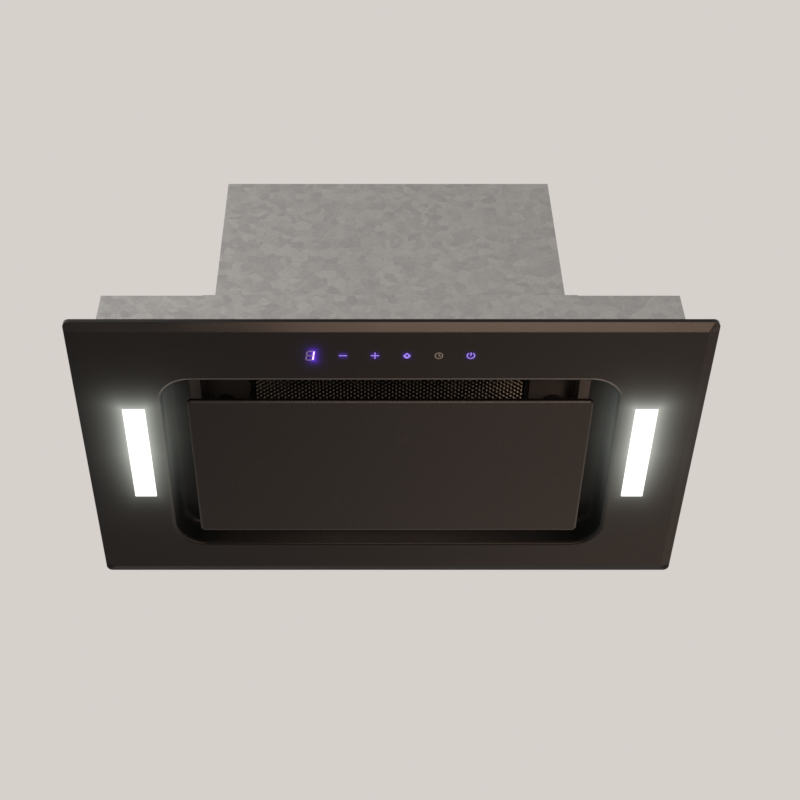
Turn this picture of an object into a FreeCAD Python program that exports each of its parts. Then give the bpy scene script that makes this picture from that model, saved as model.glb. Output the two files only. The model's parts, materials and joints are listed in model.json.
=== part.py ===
import FreeCAD, Part
import math
import os
from FreeCAD import Vector as V

# Built-in range hood, in millimetres. The origin is the centre of the mounting screw pattern on the
# seat plane, where the flange bears on what carries the hood: +X right, -Y to the front, +Z up.

# Fascia panel: outer outline, bevelled rim and wall
PANEL_W = 588.0
PANEL_D = 340.0
PANEL_R = 6.0
PANEL_T = 2.0
RIM_H = 4.0
BEVEL_W = 9.5
BEVEL_H = 3.0
BEVEL_R = 0.8

# Recess in the fascia and the air inlet in its floor
SIDE_LAND = 80.0
FRONT_LAND = 70.0
REAR_LAND = 47.0
RECESS_R = 28.0
RECESS_H = 26.0
LIP_R = 5.0
FLOOR_R = 9.0
INLET_SIDE = 23.0
INLET_FRONT = 10.0
INLET_REAR = 28.0
INLET_R = 8.0

# Glass plate, with an air slot all round it, and the steel carrier glued to its back
SLOT_SIDE = 24.0
SLOT_END = 21.5
PLATE_T = 5.0
PLATE_R = 5.0
PLATE_EDGE = 1.8
PLATE_PROUD = 3.0
CARRIER_T = 1.2
CARRIER_INSET = 12.0
CARRIER_UP = 6.0

# Plate hinges and magnetic catch
HINGE_INSET = 4.0
HINGE_RISE = 10.8
HINGE_SIDE = 40.0
HINGE_PIN_R = 2.0
HINGE_BARREL_R = 4.5
HINGE_ARM_W = 12.0
HINGE_FOOT_L = 18.0
HINGE_FOOT_T = 2.0
HINGE_SHEET = 1.5
HINGE_BASE_W = 36.0
HINGE_BASE_D = 12.0
HINGE_EAR_D = 11.0
HINGE_SCREW_DX = 13.0
RUNNING = 0.05
SIDE_PLAY = 0.4
CATCH_SIDE = 30.0
CATCH_Y = -25.0
CATCH_GAP = 0.3
MAGNET_R = 5.0
MAGNET_H = 3.0
POST_R = 6.0
POST_ROOT_R = 8.0
POST_FLANGE_R = 11.0
POST_FLANGE_T = 2.0

# Inlet pan and grease filter
PAN_T = 1.0
PAN_H = 24.0
PAN_LEDGE = 11.0
PAN_SLOPE_X = 2.0
PAN_SLOPE_Y = 4.0
PAN_FLANGE_FRONT = 10.0
PAN_FLANGE_REAR = 20.0
PAN_FLANGE_SIDE = 11.0
FILTER_SHELF = 43.0
FILTER_END = 4.0
FILTER_H = 10.0
FILTER_DROP = 2.0
FILTER_CLEAR = 1.0
FRAME_T = 1.0
FRAME_LIP = 4.0
FRONT_RAIL = 20.0
MESH_T = 2.0
MESH_CLEAR = 0.2
TAB_X = 80.0
TAB_W = 20.0
TAB_REACH = 5.0

# Filter latch
LATCH_W = 40.0
LATCH_L = 11.0
LATCH_T = 4.0
LATCH_REACH = 4.0
LATCH_TRAVEL = 5.0
LATCH_PLAY = 0.3
NECK_W = 20.0
NECK_L = 3.0
NECK_BACK = 2.0
PULL_W = 36.0
PULL_L = 5.0
PULL_H = 6.0
GUIDE_WALL = 6.0
GUIDE_REAR = 2.0
SPRING_R = 2.0
SPRING_BORE = 1.4
SPRING_GAP = 0.3

# Lamps
LAMP_SIDE = 53.0
LAMP_Y = -6.0
LAMP_W = 21.5
LAMP_L = 119.0
LAMP_R = 0.8
LENS_CLEAR = 0.2
LENS_PROUD = 0.5
LENS_LEDGE = 3.0
LENS_LEDGE_T = 1.5
LAMP_CASE_H = 12.5
LAMP_CASE_T = 1.5
LED_COUNT = 8
LED_SIZE = 3.0
LED_H = 1.0
BOARD_T = 1.6
BOARD_CLEAR = 0.3

# Touch control behind the fascia
CONTROL_FRONT = 37.4
KEY_PITCH = 29.0
KEY_COUNT = 6
GUIDE_SIZE = 12.0
GUIDE_H = 1.5
DISPLAY_W = 14.0
DISPLAY_L = 18.0
TOUCH_MARGIN = 20.0
TOUCH_D = 24.0
COVER_T = 1.5
COVER_H = 10.0

# Housing tray, its flange and the mounting screw holes
SHEET_T = 1.0
TRAY_SIDE = 24.0
TRAY_END = 22.0
TRAY_H = 60.0
FLANGE_CLEAR = 2.0
MOUNT_DX = 400.0
MOUNT_OUT = 9.0
MOUNT_HOLE_R = 2.5
CLIP_W = 16.0
CLIP_FOOT = 8.0
CLIP_H = 19.0
CLIP_T = 1.0
CLIP_SIDE = 55.0
CLIP_REAR = 48.0
DIVIDER_CLEAR = 0.2

# Blower box
BLOWER_W = 330.0
BLOWER_H = 194.0
BOX_FOOT = 10.0
BOX_LIP = 12.0
LID_SCREW_IN = 7.0
LID_SCREW_END = 28.0

# Scroll casing: three quarter arcs that step outwards, then a straight throat
CASING_W = 112.0
CASING_T = 2.0
AXIS_Y = -20.0
TONGUE_GAP = 8.0
SPIRAL_STEP = 9.0
THROAT_IN = 18.0
CASING_FLOOR_GAP = 2.0
EYE_R = 57.0
EYE_RING = 2.0
EYE_LIP = 4.0
THROAT_FLANGE = 16.0
THROAT_FLANGE_T = 3.0
GASKET_T = 3.0

# Impeller
IMPELLER_R = 75.0
IMPELLER_W = 92.0
BLADE_COUNT = 36
BLADE_DEPTH = 13.0
BLADE_T = 1.2
BLADE_TRIM = 0.5
BLADE_TURN = 9.0
END_RING_T = 2.0
WEB_X = -10.0
WEB_T = 2.5
HUB_R = 12.0
HUB_L = 18.0

# Motor
MOTOR_R = 42.0
MOTOR_X = 4.0
MOTOR_L = 64.0
CAN_T = 1.5
CAP_T = 4.0
SHAFT_R = 4.0
SHAFT_OUT = 2.0
SHAFT_CLEAR = 1.0
BEARING_R = 9.0
BEARING_L = 5.5
BOSS_T = 3.0
STATOR_L = 36.0
STATOR_T = 14.4
STATOR_CLEAR = 0.1
AIR_GAP = 0.5
ROTOR_FIT = 0.02
SPIDER_T = 2.0
SPIDER_HUB_R = 36.0
SPIDER_EYE_R = 14.0
SPIDER_ARM_W = 16.0
SPIDER_LEG_R = 70.0
SPIDER_FOOT_OUT = 6.0
SPIDER_FOOT_L = 12.0
GROMMET_R = 6.0
GROMMET_T = 3.0
MOTOR_SCREW_R = 24.0
SPIDER_ARMS = 3

# Capacitor on the blower box's left wall
CAPACITOR_RISE = 50.0
CAPACITOR_R = 17.0
CAPACITOR_L = 60.0
CLAMP_T = 1.2
CLAMP_W = 14.0
CLAMP_FOOT = 28.0
CLAMP_CLEAR = 0.1
TERMINAL_W = 6.0
TERMINAL_T = 1.0
TERMINAL_H = 8.0

# Outlet collar and its non-return flaps
COLLAR_R = 75.0
COLLAR_T = 2.0
COLLAR_H = 42.0
COLLAR_BASE = 172.0
COLLAR_BASE_R = 10.0
COLLAR_BASE_T = 3.0
COLLAR_SCREW_DX = 64.0
COLLAR_SCREW_DY = 54.0
FLAP_RISE = 8.0
FLAP_T = 1.6
FLAP_CLEAR = 1.2
FLAP_SEAT_W = 3.5
FLAP_SEAT_T = 2.0
FLAP_SEAT_GAP = 0.3
FLAP_PIN_R = 1.5
FLAP_PIN_BITE = 1.2
KNUCKLE_R = 3.0
KNUCKLE_L = 20.0
KNUCKLE_GAP = 0.5

# Power box on the housing tray, between the blower box's foot and the tray's side
POWER_GAP = 3.0
POWER_EDGE = 8.0
POWER_D = 140.0
POWER_H = 40.0
POWER_T = 2.0
POWER_LIP = 4.0
POWER_POST_R = 3.0
POWER_POST_H = 5.0
POWER_POST_IN = 8.0
POWER_BOARD_IN = 4.0
COIL_W = 34.0
COIL_D = 30.0
COIL_H = 20.0
TERMINALS_W = 40.0
TERMINALS_D = 16.0
TERMINALS_H = 14.0
GLAND_R = 8.0
GLAND_BORE_R = 4.0
GLAND_CLEAR = 0.1
GLAND_HEX = 11.0
GLAND_HEX_T = 5.0
GLAND_NOSE_R = 7.0
GLAND_NOSE_L = 9.0

# Screws
SCREW_R = 1.5
SCREW_CLEAR = 0.1
SCREW_HEAD_R = 3.0
SCREW_HEAD_H = 2.0
SCREW_PAST = 2.0

# Sizes and places in plan that follow from the sizes above
RECESS_W = PANEL_W - 2 * SIDE_LAND
RECESS_D = PANEL_D - FRONT_LAND - REAR_LAND
RECESS_Y = (FRONT_LAND - REAR_LAND) / 2
INLET_W = RECESS_W - 2 * INLET_SIDE
INLET_D = RECESS_D - INLET_FRONT - INLET_REAR
INLET_Y = RECESS_Y + (INLET_FRONT - INLET_REAR) / 2
PLATE_W = RECESS_W - 2 * SLOT_SIDE
PLATE_D = RECESS_D - 2 * SLOT_END
HINGE_X = PLATE_W / 2 - HINGE_SIDE
HINGE_Y = RECESS_Y + PLATE_D / 2 - HINGE_INSET
HINGE_BASE_Y = HINGE_Y + HINGE_EAR_D - HINGE_BASE_D / 2
CATCH_X = PLATE_W / 2 - CATCH_SIDE
FILTER_W = INLET_W - 2 * (PAN_LEDGE + PAN_SLOPE_X + FILTER_SHELF)
FILTER_D = INLET_D - 2 * (PAN_SLOPE_Y + FILTER_END)
LAMP_X = PANEL_W / 2 - LAMP_SIDE
CONTROL_Y = CONTROL_FRONT - PANEL_D / 2
TRAY_W = PANEL_W - 2 * TRAY_SIDE
TRAY_D = PANEL_D - 2 * TRAY_END
MOUNT_DY = TRAY_D + 2 * MOUNT_OUT
CLIP_X = TRAY_W / 2 - CLIP_SIDE
CLIP_Y = TRAY_D / 2 - CLIP_REAR
BLOWER_D = TRAY_D - 2 * BOX_FOOT
LID_SCREW_DY = BLOWER_D / 2 - LID_SCREW_END
POWER_LEFT = BLOWER_W / 2 + BOX_FOOT + POWER_GAP
POWER_RIGHT = TRAY_W / 2 - POWER_EDGE
POWER_W = POWER_RIGHT - POWER_LEFT
POWER_X = (POWER_LEFT + POWER_RIGHT) / 2

# Levels and the places that follow from them
FACE_Z = -(RIM_H + BEVEL_H)
INNER_Z = FACE_Z + PANEL_T
FLOOR_Z = FACE_Z + RECESS_H
FLOOR_TOP = FLOOR_Z + PANEL_T
PLATE_Z = FACE_Z - PLATE_PROUD
PLATE_TOP = PLATE_Z + PLATE_T
CARRIER_TOP = PLATE_TOP + CARRIER_T
HINGE_Z = CARRIER_TOP + HINGE_RISE
ROOF_Z = FLOOR_TOP + PAN_H
ROOF_TOP = ROOF_Z + PAN_T
FILTER_Z = ROOF_Z - FILTER_DROP
FILTER_FRONT = INLET_Y - FILTER_D / 2
FILTER_REAR = INLET_Y + FILTER_D / 2
RAIL_Y = FILTER_FRONT + FRONT_RAIL
LATCH_Z = ROOF_TOP + LATCH_PLAY
LATCH_FRONT = FILTER_FRONT - FILTER_CLEAR - LATCH_REACH
TRAY_IN_W = TRAY_W - 2 * SHEET_T
TRAY_IN_D = TRAY_D - 2 * SHEET_T
BLOWER_TOP = TRAY_H + BLOWER_H
LID_TOP = BLOWER_TOP + SHEET_T
SPIRAL_R = IMPELLER_R + TONGUE_GAP + SPIRAL_STEP / 2
AXIS_Z = TRAY_H + CASING_FLOOR_GAP + CASING_T + SPIRAL_R + 1.5 * SPIRAL_STEP
THROAT_OUT = SPIRAL_R + 2.5 * SPIRAL_STEP
THROAT_TOP = BLOWER_TOP - GASKET_T
COLLAR_Y = AXIS_Y + (THROAT_IN + THROAT_OUT) / 2
CASING_X = CASING_W / 2
CAP_END_X = MOTOR_X + MOTOR_L
SPIDER_X = CAP_END_X + CAP_T
SPIDER_FOOT_R = SPIDER_LEG_R + SPIDER_FOOT_OUT
CAPACITOR_Z = TRAY_H + CAPACITOR_RISE
FLAP_Z = LID_TOP + COLLAR_BASE_T + FLAP_RISE
BORE_R = COLLAR_R - COLLAR_T
POWER_Z = TRAY_H + POWER_T
SIDES = (("left", -1), ("right", 1))

X_AXIS = V(1, 0, 0)
Y_AXIS = V(0, 1, 0)
Z_AXIS = V(0, 0, 1)


def save(name, *shapes):
    """Write one node: a single solid, or a group of separate solids."""
    solids = [s for shape in shapes for s in shape.Solids]
    whole = solids[0] if len(solids) == 1 else Part.makeCompound(solids)
    whole.exportStep(f"parts/{name}.step")


def block(x0, x1, y0, y1, z0, z1):
    return Part.makeBox(x1 - x0, y1 - y0, z1 - z0, V(x0, y0, z0))


def slab(width, depth, z0, z1, x=0.0, y=0.0):
    """A box given by its plan size, its levels and its centre."""
    return block(x - width / 2, x + width / 2, y - depth / 2, y + depth / 2, z0, z1)


def rod(radius, start, length, axis):
    return Part.makeCylinder(radius, length, start, axis)


def ring(outer, inner, start, length, axis):
    return rod(outer, start, length, axis).cut(rod(inner, start, length, axis))


def join(first, *others):
    return first.fuse(list(others)).removeSplitter()


def rounded_wire(width, depth, radius, z, x=0.0, y=0.0):
    """A rectangle with round corners, as four lines and four arcs."""
    a = width / 2 - radius
    b = depth / 2 - radius
    h = radius * math.sqrt(0.5)
    edges = []
    for sx, sy, turn in ((1, -1, 0), (1, 1, 1), (-1, 1, 2), (-1, -1, 3)):
        centre = V(x + sx * a, y + sy * b, z)
        out_x = V(sx * radius, 0, 0)
        out_y = V(0, sy * radius, 0)
        first, last = (out_y, out_x) if turn % 2 == 0 else (out_x, out_y)
        edges.append(Part.Arc(centre + first, centre + V(sx * h, sy * h, 0), centre + last).toShape())
    sides = []
    for i, arc in enumerate(edges):
        following = edges[(i + 1) % 4]
        sides += [arc, Part.makeLine(arc.Vertexes[-1].Point, following.Vertexes[0].Point)]
    return Part.Wire(sides)


def rounded_slab(width, depth, radius, z0, z1, x=0.0, y=0.0):
    return Part.Face(rounded_wire(width, depth, radius, z0, x, y)).extrude(V(0, 0, z1 - z0))


def screw(start, axis, grip):
    """A pan-head screw: the head sits at the start, the shank runs along the axis through its grip."""
    head = rod(SCREW_HEAD_R, start - axis * SCREW_HEAD_H, SCREW_HEAD_H, axis)
    return join(head, rod(SCREW_R, start, grip + SCREW_PAST, axis))


def screw_hole(start, axis, depth):
    return rod(SCREW_R + SCREW_CLEAR, start, depth, axis)


def profile_x(points, x0, x1):
    """A polygon in the YZ plane, drawn out along X."""
    corners = [V(x0, y, z) for y, z in points]
    return Part.Face(Part.makePolygon(corners + corners[:1])).extrude(V(x1 - x0, 0, 0))


def hinge_screw_places():
    return [(s * HINGE_X + d * HINGE_SCREW_DX, HINGE_BASE_Y) for _, s in SIDES for d in (-1, 1)]


def collar_screw_places():
    return [
        (i * COLLAR_SCREW_DX, COLLAR_Y + j * COLLAR_SCREW_DY) for i in (-1, 1) for j in (-1, 1)
    ]


def lid_screw_places():
    x = BLOWER_W / 2 - LID_SCREW_IN
    return [(s * x, k * LID_SCREW_DY) for s in (-1, 1) for k in (-1, 0, 1)]


def fascia_body(inset):
    """The fascia's outer form, or the space inside it when inset by the wall."""
    width = PANEL_W - 2 * inset
    depth = PANEL_D - 2 * inset
    radius = PANEL_R - inset
    face = FACE_Z + inset
    rim = -RIM_H + inset / 2
    rim_part = rounded_slab(width, depth, radius, rim, 0)
    low = rounded_wire(width - 2 * BEVEL_W, depth - 2 * BEVEL_W, BEVEL_R, face)
    bevel = Part.makeLoft([low, rounded_wire(width, depth, radius, rim)], True, True)
    return join(rim_part, bevel)


def edges_at(shape, z, width, depth, y):
    """The edges of a rounded outline of this size that lie on one level."""
    found = []
    for edge in shape.Edges:
        box = edge.BoundBox
        flat = abs(box.ZMin - z) < 1e-4 and abs(box.ZMax - z) < 1e-4
        inside = box.XMax < width / 2 + 1e-3 and box.XMin > -width / 2 - 1e-3
        near = box.YMax < y + depth / 2 + 1e-3 and box.YMin > y - depth / 2 - 1e-3
        if flat and inside and near:
            found.append(edge)
    return found


def make_fascia():
    shell = fascia_body(0).cut(fascia_body(PANEL_T))
    wall = rounded_slab(
        RECESS_W + 2 * PANEL_T, RECESS_D + 2 * PANEL_T, RECESS_R + PANEL_T, FACE_Z, FLOOR_TOP, y=RECESS_Y
    )
    hollow = rounded_slab(RECESS_W, RECESS_D, RECESS_R, FACE_Z, FLOOR_Z, y=RECESS_Y)
    shell = join(shell, wall).cut(hollow)
    shell = shell.makeFillet(LIP_R, edges_at(shell, FACE_Z, RECESS_W, RECESS_D, RECESS_Y))
    shell = shell.makeFillet(FLOOR_R, edges_at(shell, FLOOR_Z, RECESS_W, RECESS_D, RECESS_Y))
    cuts = [rounded_slab(INLET_W, INLET_D, INLET_R, FLOOR_Z, FLOOR_TOP, y=INLET_Y)]
    for _, side in SIDES:
        cuts.append(rounded_slab(LAMP_W, LAMP_L, LAMP_R, FACE_Z, INNER_Z, side * LAMP_X, LAMP_Y))
    for x, y in hinge_screw_places():
        cuts.append(screw_hole(V(x, y, FLOOR_Z), Z_AXIS, PANEL_T))
    save("fascia_panel", shell.cut(cuts))


def make_plate():
    plate = rounded_slab(PLATE_W, PLATE_D, PLATE_R, PLATE_Z, PLATE_TOP, y=RECESS_Y)
    rims = [e for e in plate.Edges if e.BoundBox.ZLength < 1e-4]
    save("glass_plate", plate.makeFillet(PLATE_EDGE, rims))
    width = PLATE_W - 2 * CARRIER_INSET
    depth = PLATE_D - 2 * CARRIER_INSET
    sheet = slab(width, depth, PLATE_TOP, CARRIER_TOP, y=RECESS_Y)
    ups = []
    for _, side in SIDES:
        x = side * (width - CARRIER_T) / 2
        ups.append(slab(CARRIER_T, depth, PLATE_TOP, CARRIER_TOP + CARRIER_UP, x, RECESS_Y))
    save("plate_carrier", join(sheet, *ups))


def make_hinges():
    rear = RECESS_Y + PLATE_D / 2 - CARRIER_INSET
    reach = HINGE_ARM_W / 2 + SIDE_PLAY
    base_z = FLOOR_Z - HINGE_SHEET
    pin_x = reach + HINGE_SHEET + SIDE_PLAY
    pins = []
    for name, side in SIDES:
        x = side * HINGE_X
        centre = V(x, HINGE_Y, HINGE_Z)
        half = HINGE_ARM_W / 2
        foot_top = CARRIER_TOP + HINGE_FOOT_T
        foot = block(x - half, x + half, rear - HINGE_FOOT_L, rear, CARRIER_TOP, foot_top)
        web = profile_x(
            [
                (rear - HINGE_FOOT_L / 2, CARRIER_TOP),
                (rear, CARRIER_TOP),
                (HINGE_Y + HINGE_BARREL_R, HINGE_Z),
                (HINGE_Y - HINGE_BARREL_R, HINGE_Z),
            ],
            x - half,
            x + half,
        )
        barrel = rod(HINGE_BARREL_R, centre - X_AXIS * half, HINGE_ARM_W, X_AXIS)
        bore = rod(HINGE_PIN_R + RUNNING, centre - X_AXIS * pin_x, 2 * pin_x, X_AXIS)
        save(f"hinge_arm_{name}", join(foot, web, barrel).cut(bore))
        base = slab(HINGE_BASE_W, HINGE_BASE_D, base_z, FLOOR_Z, x, HINGE_BASE_Y)
        ears = []
        for lean in (-1, 1):
            x0 = x + lean * (reach + HINGE_SHEET / 2) - HINGE_SHEET / 2
            ears.append(
                profile_x(
                    [
                        (HINGE_Y - HINGE_BARREL_R, HINGE_Z),
                        (HINGE_Y + HINGE_BARREL_R, HINGE_Z),
                        (HINGE_Y + HINGE_EAR_D, base_z),
                        (HINGE_Y, base_z),
                    ],
                    x0,
                    x0 + HINGE_SHEET,
                )
            )
            ears.append(rod(HINGE_BARREL_R, V(x0, HINGE_Y, HINGE_Z), HINGE_SHEET, X_AXIS))
        holes = [
            screw_hole(V(px, py, base_z), Z_AXIS, HINGE_SHEET)
            for px, py in hinge_screw_places()
            if px * side > 0
        ]
        save(f"hinge_bracket_{name}", join(base, *ears).cut([bore] + holes))
        pins.append(rod(HINGE_PIN_R, centre - X_AXIS * pin_x, 2 * pin_x, X_AXIS))
    save("hinge_pins", *pins)
    grip = HINGE_SHEET + PANEL_T + PAN_T
    save("hinge_screws", *[screw(V(x, y, base_z), Z_AXIS, grip) for x, y in hinge_screw_places()])


def make_catches():
    posts = []
    magnets = []
    magnet_z = CARRIER_TOP + CATCH_GAP
    post_z = magnet_z + MAGNET_H
    flange_z = ROOF_Z - POST_FLANGE_T
    for _, side in SIDES:
        x = side * CATCH_X
        magnets.append(rod(MAGNET_R, V(x, CATCH_Y, magnet_z), MAGNET_H, Z_AXIS))
        stem = Part.makeCone(POST_R, POST_ROOT_R, flange_z - post_z, V(x, CATCH_Y, post_z), Z_AXIS)
        flange = rod(POST_FLANGE_R, V(x, CATCH_Y, flange_z), POST_FLANGE_T, Z_AXIS)
        posts.append(join(stem, flange))
    save("magnet_posts", *posts)
    save("catch_magnets", *magnets)


def pan_taper(grow):
    """The pan's sloping space above its side ledges, or its outside when grown by the sheet."""
    width = INLET_W - 2 * PAN_LEDGE + 2 * grow
    depth = INLET_D + 2 * grow
    low = rounded_wire(width, depth, INLET_R + grow, FLOOR_TOP, y=INLET_Y)
    width -= 2 * PAN_SLOPE_X
    depth -= 2 * PAN_SLOPE_Y
    high = rounded_wire(width, depth, INLET_R + grow, ROOF_Z, y=INLET_Y)
    return Part.makeLoft([low, high], True, True)


def make_pan():
    gap = 2 * DIVIDER_CLEAR
    roof = slab(TRAY_IN_W - gap, TRAY_IN_D - gap, ROOF_Z, ROOF_TOP)
    flange = block(
        -INLET_W / 2 - PAN_FLANGE_SIDE,
        INLET_W / 2 + PAN_FLANGE_SIDE,
        INLET_Y - INLET_D / 2 - PAN_FLANGE_FRONT,
        INLET_Y + INLET_D / 2 + PAN_FLANGE_REAR,
        FLOOR_TOP,
        FLOOR_TOP + PAN_T,
    )
    hole_w = FILTER_W + 2 * FILTER_CLEAR
    hole_d = FILTER_D + 2 * FILTER_CLEAR
    hole = slab(hole_w, hole_d, ROOF_Z, ROOF_TOP, y=INLET_Y)
    holes = [screw_hole(V(x, y, FLOOR_TOP), Z_AXIS, PAN_T) for x, y in hinge_screw_places()]
    pan = join(roof, flange, pan_taper(PAN_T)).cut([pan_taper(0), hole] + holes)
    save("inlet_pan", pan)


def make_filter():
    top = FILTER_Z + FILTER_H
    frame = slab(FILTER_W, FILTER_D, FILTER_Z, top, y=INLET_Y)
    room_w = FILTER_W - 2 * FRAME_T
    room_d = FILTER_D - 2 * FRAME_T
    room = slab(room_w, room_d, FILTER_Z + FRAME_T, top - FRAME_T, y=INLET_Y)
    window_x = FILTER_W / 2 - FRAME_LIP
    window = block(-window_x, window_x, RAIL_Y, FILTER_REAR - FRAME_LIP, FILTER_Z, top)
    slot_x = LATCH_W / 2 + LATCH_PLAY
    tongue_slot = block(
        -slot_x,
        slot_x,
        FILTER_FRONT,
        FILTER_FRONT + FRAME_T,
        LATCH_Z - LATCH_PLAY,
        LATCH_Z + LATCH_T + LATCH_PLAY,
    )
    frame = frame.cut([room, window, tongue_slot, neck_slot(FILTER_Z, FILTER_Z + FRAME_T)])
    tabs = [
        block(
            x - TAB_W / 2,
            x + TAB_W / 2,
            FILTER_REAR - FRAME_T,
            FILTER_REAR + FILTER_CLEAR + TAB_REACH,
            ROOF_TOP,
            ROOF_TOP + FRAME_T,
        )
        for x in (-TAB_X, TAB_X)
    ]
    save("filter_frame", join(frame, *tabs))
    mesh_x = room_w / 2 - MESH_CLEAR
    mesh_y0 = RAIL_Y - FRAME_LIP + MESH_CLEAR
    mesh_y1 = FILTER_REAR - FRAME_T - MESH_CLEAR
    mesh_z = FILTER_Z + FRAME_T
    save("filter_mesh", block(-mesh_x, mesh_x, mesh_y0, mesh_y1, mesh_z, mesh_z + MESH_T))
    save("filter_core", block(-mesh_x, mesh_x, mesh_y0, mesh_y1, mesh_z + MESH_T, top - FRAME_T))


def neck_slot(z0, z1):
    """The slot that the latch's neck runs in."""
    x = NECK_W / 2 + LATCH_PLAY
    y0 = FILTER_FRONT + NECK_BACK - LATCH_PLAY
    y1 = FILTER_FRONT + NECK_BACK + NECK_L + LATCH_TRAVEL + LATCH_PLAY
    return block(-x, x, y0, y1, z0, z1)


def make_latch():
    top = FILTER_Z + FILTER_H - FRAME_T
    floor = FILTER_Z + FRAME_T
    slide_top = LATCH_Z + LATCH_T
    slide_rear = LATCH_FRONT + LATCH_L
    slide = block(-LATCH_W / 2, LATCH_W / 2, LATCH_FRONT, slide_rear, LATCH_Z, slide_top)
    neck_y = FILTER_FRONT + NECK_BACK
    pull_top = FILTER_Z - LATCH_PLAY
    neck = block(-NECK_W / 2, NECK_W / 2, neck_y, neck_y + NECK_L, pull_top, slide_top)
    pull = block(-PULL_W / 2, PULL_W / 2, neck_y, neck_y + PULL_L, pull_top - PULL_H, pull_top)
    save("filter_latch", join(slide, neck, pull))
    x = LATCH_W / 2 + LATCH_PLAY
    front = FILTER_FRONT + FRAME_T
    rear = RAIL_Y - FRAME_LIP
    guide = block(-x - GUIDE_WALL, x + GUIDE_WALL, front, rear, floor, top)
    channel = block(-x, x, front, rear - GUIDE_REAR, LATCH_Z - LATCH_PLAY, slide_top + LATCH_PLAY)
    save("latch_housing", guide.cut([channel, neck_slot(floor, LATCH_Z)]))
    spring_y = slide_rear + SPRING_GAP
    spring_l = rear - GUIDE_REAR - SPRING_GAP - spring_y
    centre = V(0, spring_y, LATCH_Z + LATCH_T / 2)
    save("latch_spring", ring(SPRING_R, SPRING_BORE, centre, spring_l, Y_AXIS))


def make_lamps():
    ledge_w = LAMP_W + 2 * LENS_LEDGE
    ledge_l = LAMP_L + 2 * LENS_LEDGE
    case_z = INNER_Z + LENS_LEDGE_T
    case_top = case_z + LAMP_CASE_H
    board_top = case_top - LAMP_CASE_T
    for name, side in SIDES:
        x = side * LAMP_X
        window = rounded_slab(
            LAMP_W - 2 * LENS_CLEAR,
            LAMP_L - 2 * LENS_CLEAR,
            LAMP_R,
            FACE_Z - LENS_PROUD,
            INNER_Z,
            x,
            LAMP_Y,
        )
        ledge = slab(ledge_w, ledge_l, INNER_Z, case_z, x, LAMP_Y)
        save(f"lamp_lens_{name}", join(window, ledge))
        room_w = ledge_w - 2 * LAMP_CASE_T
        room_l = ledge_l - 2 * LAMP_CASE_T
        case = slab(ledge_w, ledge_l, case_z, case_top, x, LAMP_Y)
        save(f"lamp_housing_{name}", case.cut(slab(room_w, room_l, case_z, board_top, x, LAMP_Y)))
        board_w = room_w - 2 * BOARD_CLEAR
        board_l = room_l - 2 * BOARD_CLEAR
        board_z = board_top - BOARD_T
        pitch = board_l / LED_COUNT
        leds = [
            slab(LED_SIZE, LED_SIZE, board_z - LED_H, board_z, x, LAMP_Y + (i - (LED_COUNT - 1) / 2) * pitch)
            for i in range(LED_COUNT)
        ]
        save(f"led_board_{name}", join(slab(board_w, board_l, board_z, board_top, x, LAMP_Y), *leds))


def make_control():
    key_x = [(i - (KEY_COUNT - 1) / 2) * KEY_PITCH for i in range(KEY_COUNT)]
    board_z = INNER_Z + GUIDE_H
    save("display_module", slab(DISPLAY_W, DISPLAY_L, INNER_Z, board_z, key_x[0], CONTROL_Y))
    guides = [slab(GUIDE_SIZE, GUIDE_SIZE, INNER_Z, board_z, x, CONTROL_Y) for x in key_x[1:]]
    save("light_guides", *guides)
    board_w = (KEY_COUNT - 1) * KEY_PITCH + 2 * TOUCH_MARGIN
    save("touch_board", slab(board_w, TOUCH_D, board_z, board_z + BOARD_T, y=CONTROL_Y))
    room_w = board_w + 2 * BOARD_CLEAR
    room_d = TOUCH_D + 2 * BOARD_CLEAR
    outer = slab(room_w + 2 * COVER_T, room_d + 2 * COVER_T, INNER_Z, INNER_Z + COVER_H, y=CONTROL_Y)
    room = slab(room_w, room_d, INNER_Z, INNER_Z + COVER_H - COVER_T, y=CONTROL_Y)
    save("control_cover", outer.cut(room))


def make_tray():
    flange_w = PANEL_W - 2 * PANEL_T - 2 * FLANGE_CLEAR
    flange_d = PANEL_D - 2 * PANEL_T - 2 * FLANGE_CLEAR
    flange = slab(flange_w, flange_d, -SHEET_T, 0)
    walls = slab(TRAY_W, TRAY_D, -SHEET_T, TRAY_H)
    room = slab(TRAY_IN_W, TRAY_IN_D, -SHEET_T, TRAY_H - SHEET_T)
    top_hole = slab(BLOWER_W - 2 * SHEET_T, BLOWER_D - 2 * SHEET_T, TRAY_H - SHEET_T, TRAY_H)
    holes = [
        rod(MOUNT_HOLE_R, V(i * MOUNT_DX / 2, j * MOUNT_DY / 2, -SHEET_T), SHEET_T, Z_AXIS)
        for i in (-1, 1)
        for j in (-1, 1)
    ]
    save("housing_tray", join(flange, walls).cut([room, top_hole] + holes))


def make_clips():
    clips = []
    for sx in (-1, 1):
        for sy in (-1, 1):
            y = sy * (TRAY_IN_D - CLIP_T) / 2
            foot_y = sy * (TRAY_IN_D - CLIP_FOOT) / 2
            up = slab(CLIP_W, CLIP_T, INNER_Z, INNER_Z + CLIP_H, sx * CLIP_X, y)
            clips.append(join(up, slab(CLIP_W, CLIP_FOOT, INNER_Z, INNER_Z + CLIP_T, sx * CLIP_X, foot_y)))
        x = sx * (TRAY_IN_W - CLIP_T) / 2
        foot_x = sx * (TRAY_IN_W - CLIP_FOOT) / 2
        up = slab(CLIP_T, CLIP_W, INNER_Z, INNER_Z + CLIP_H, x, CLIP_Y)
        clips.append(join(up, slab(CLIP_FOOT, CLIP_W, INNER_Z, INNER_Z + CLIP_T, foot_x, CLIP_Y)))
    save("fascia_clips", *clips)


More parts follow.
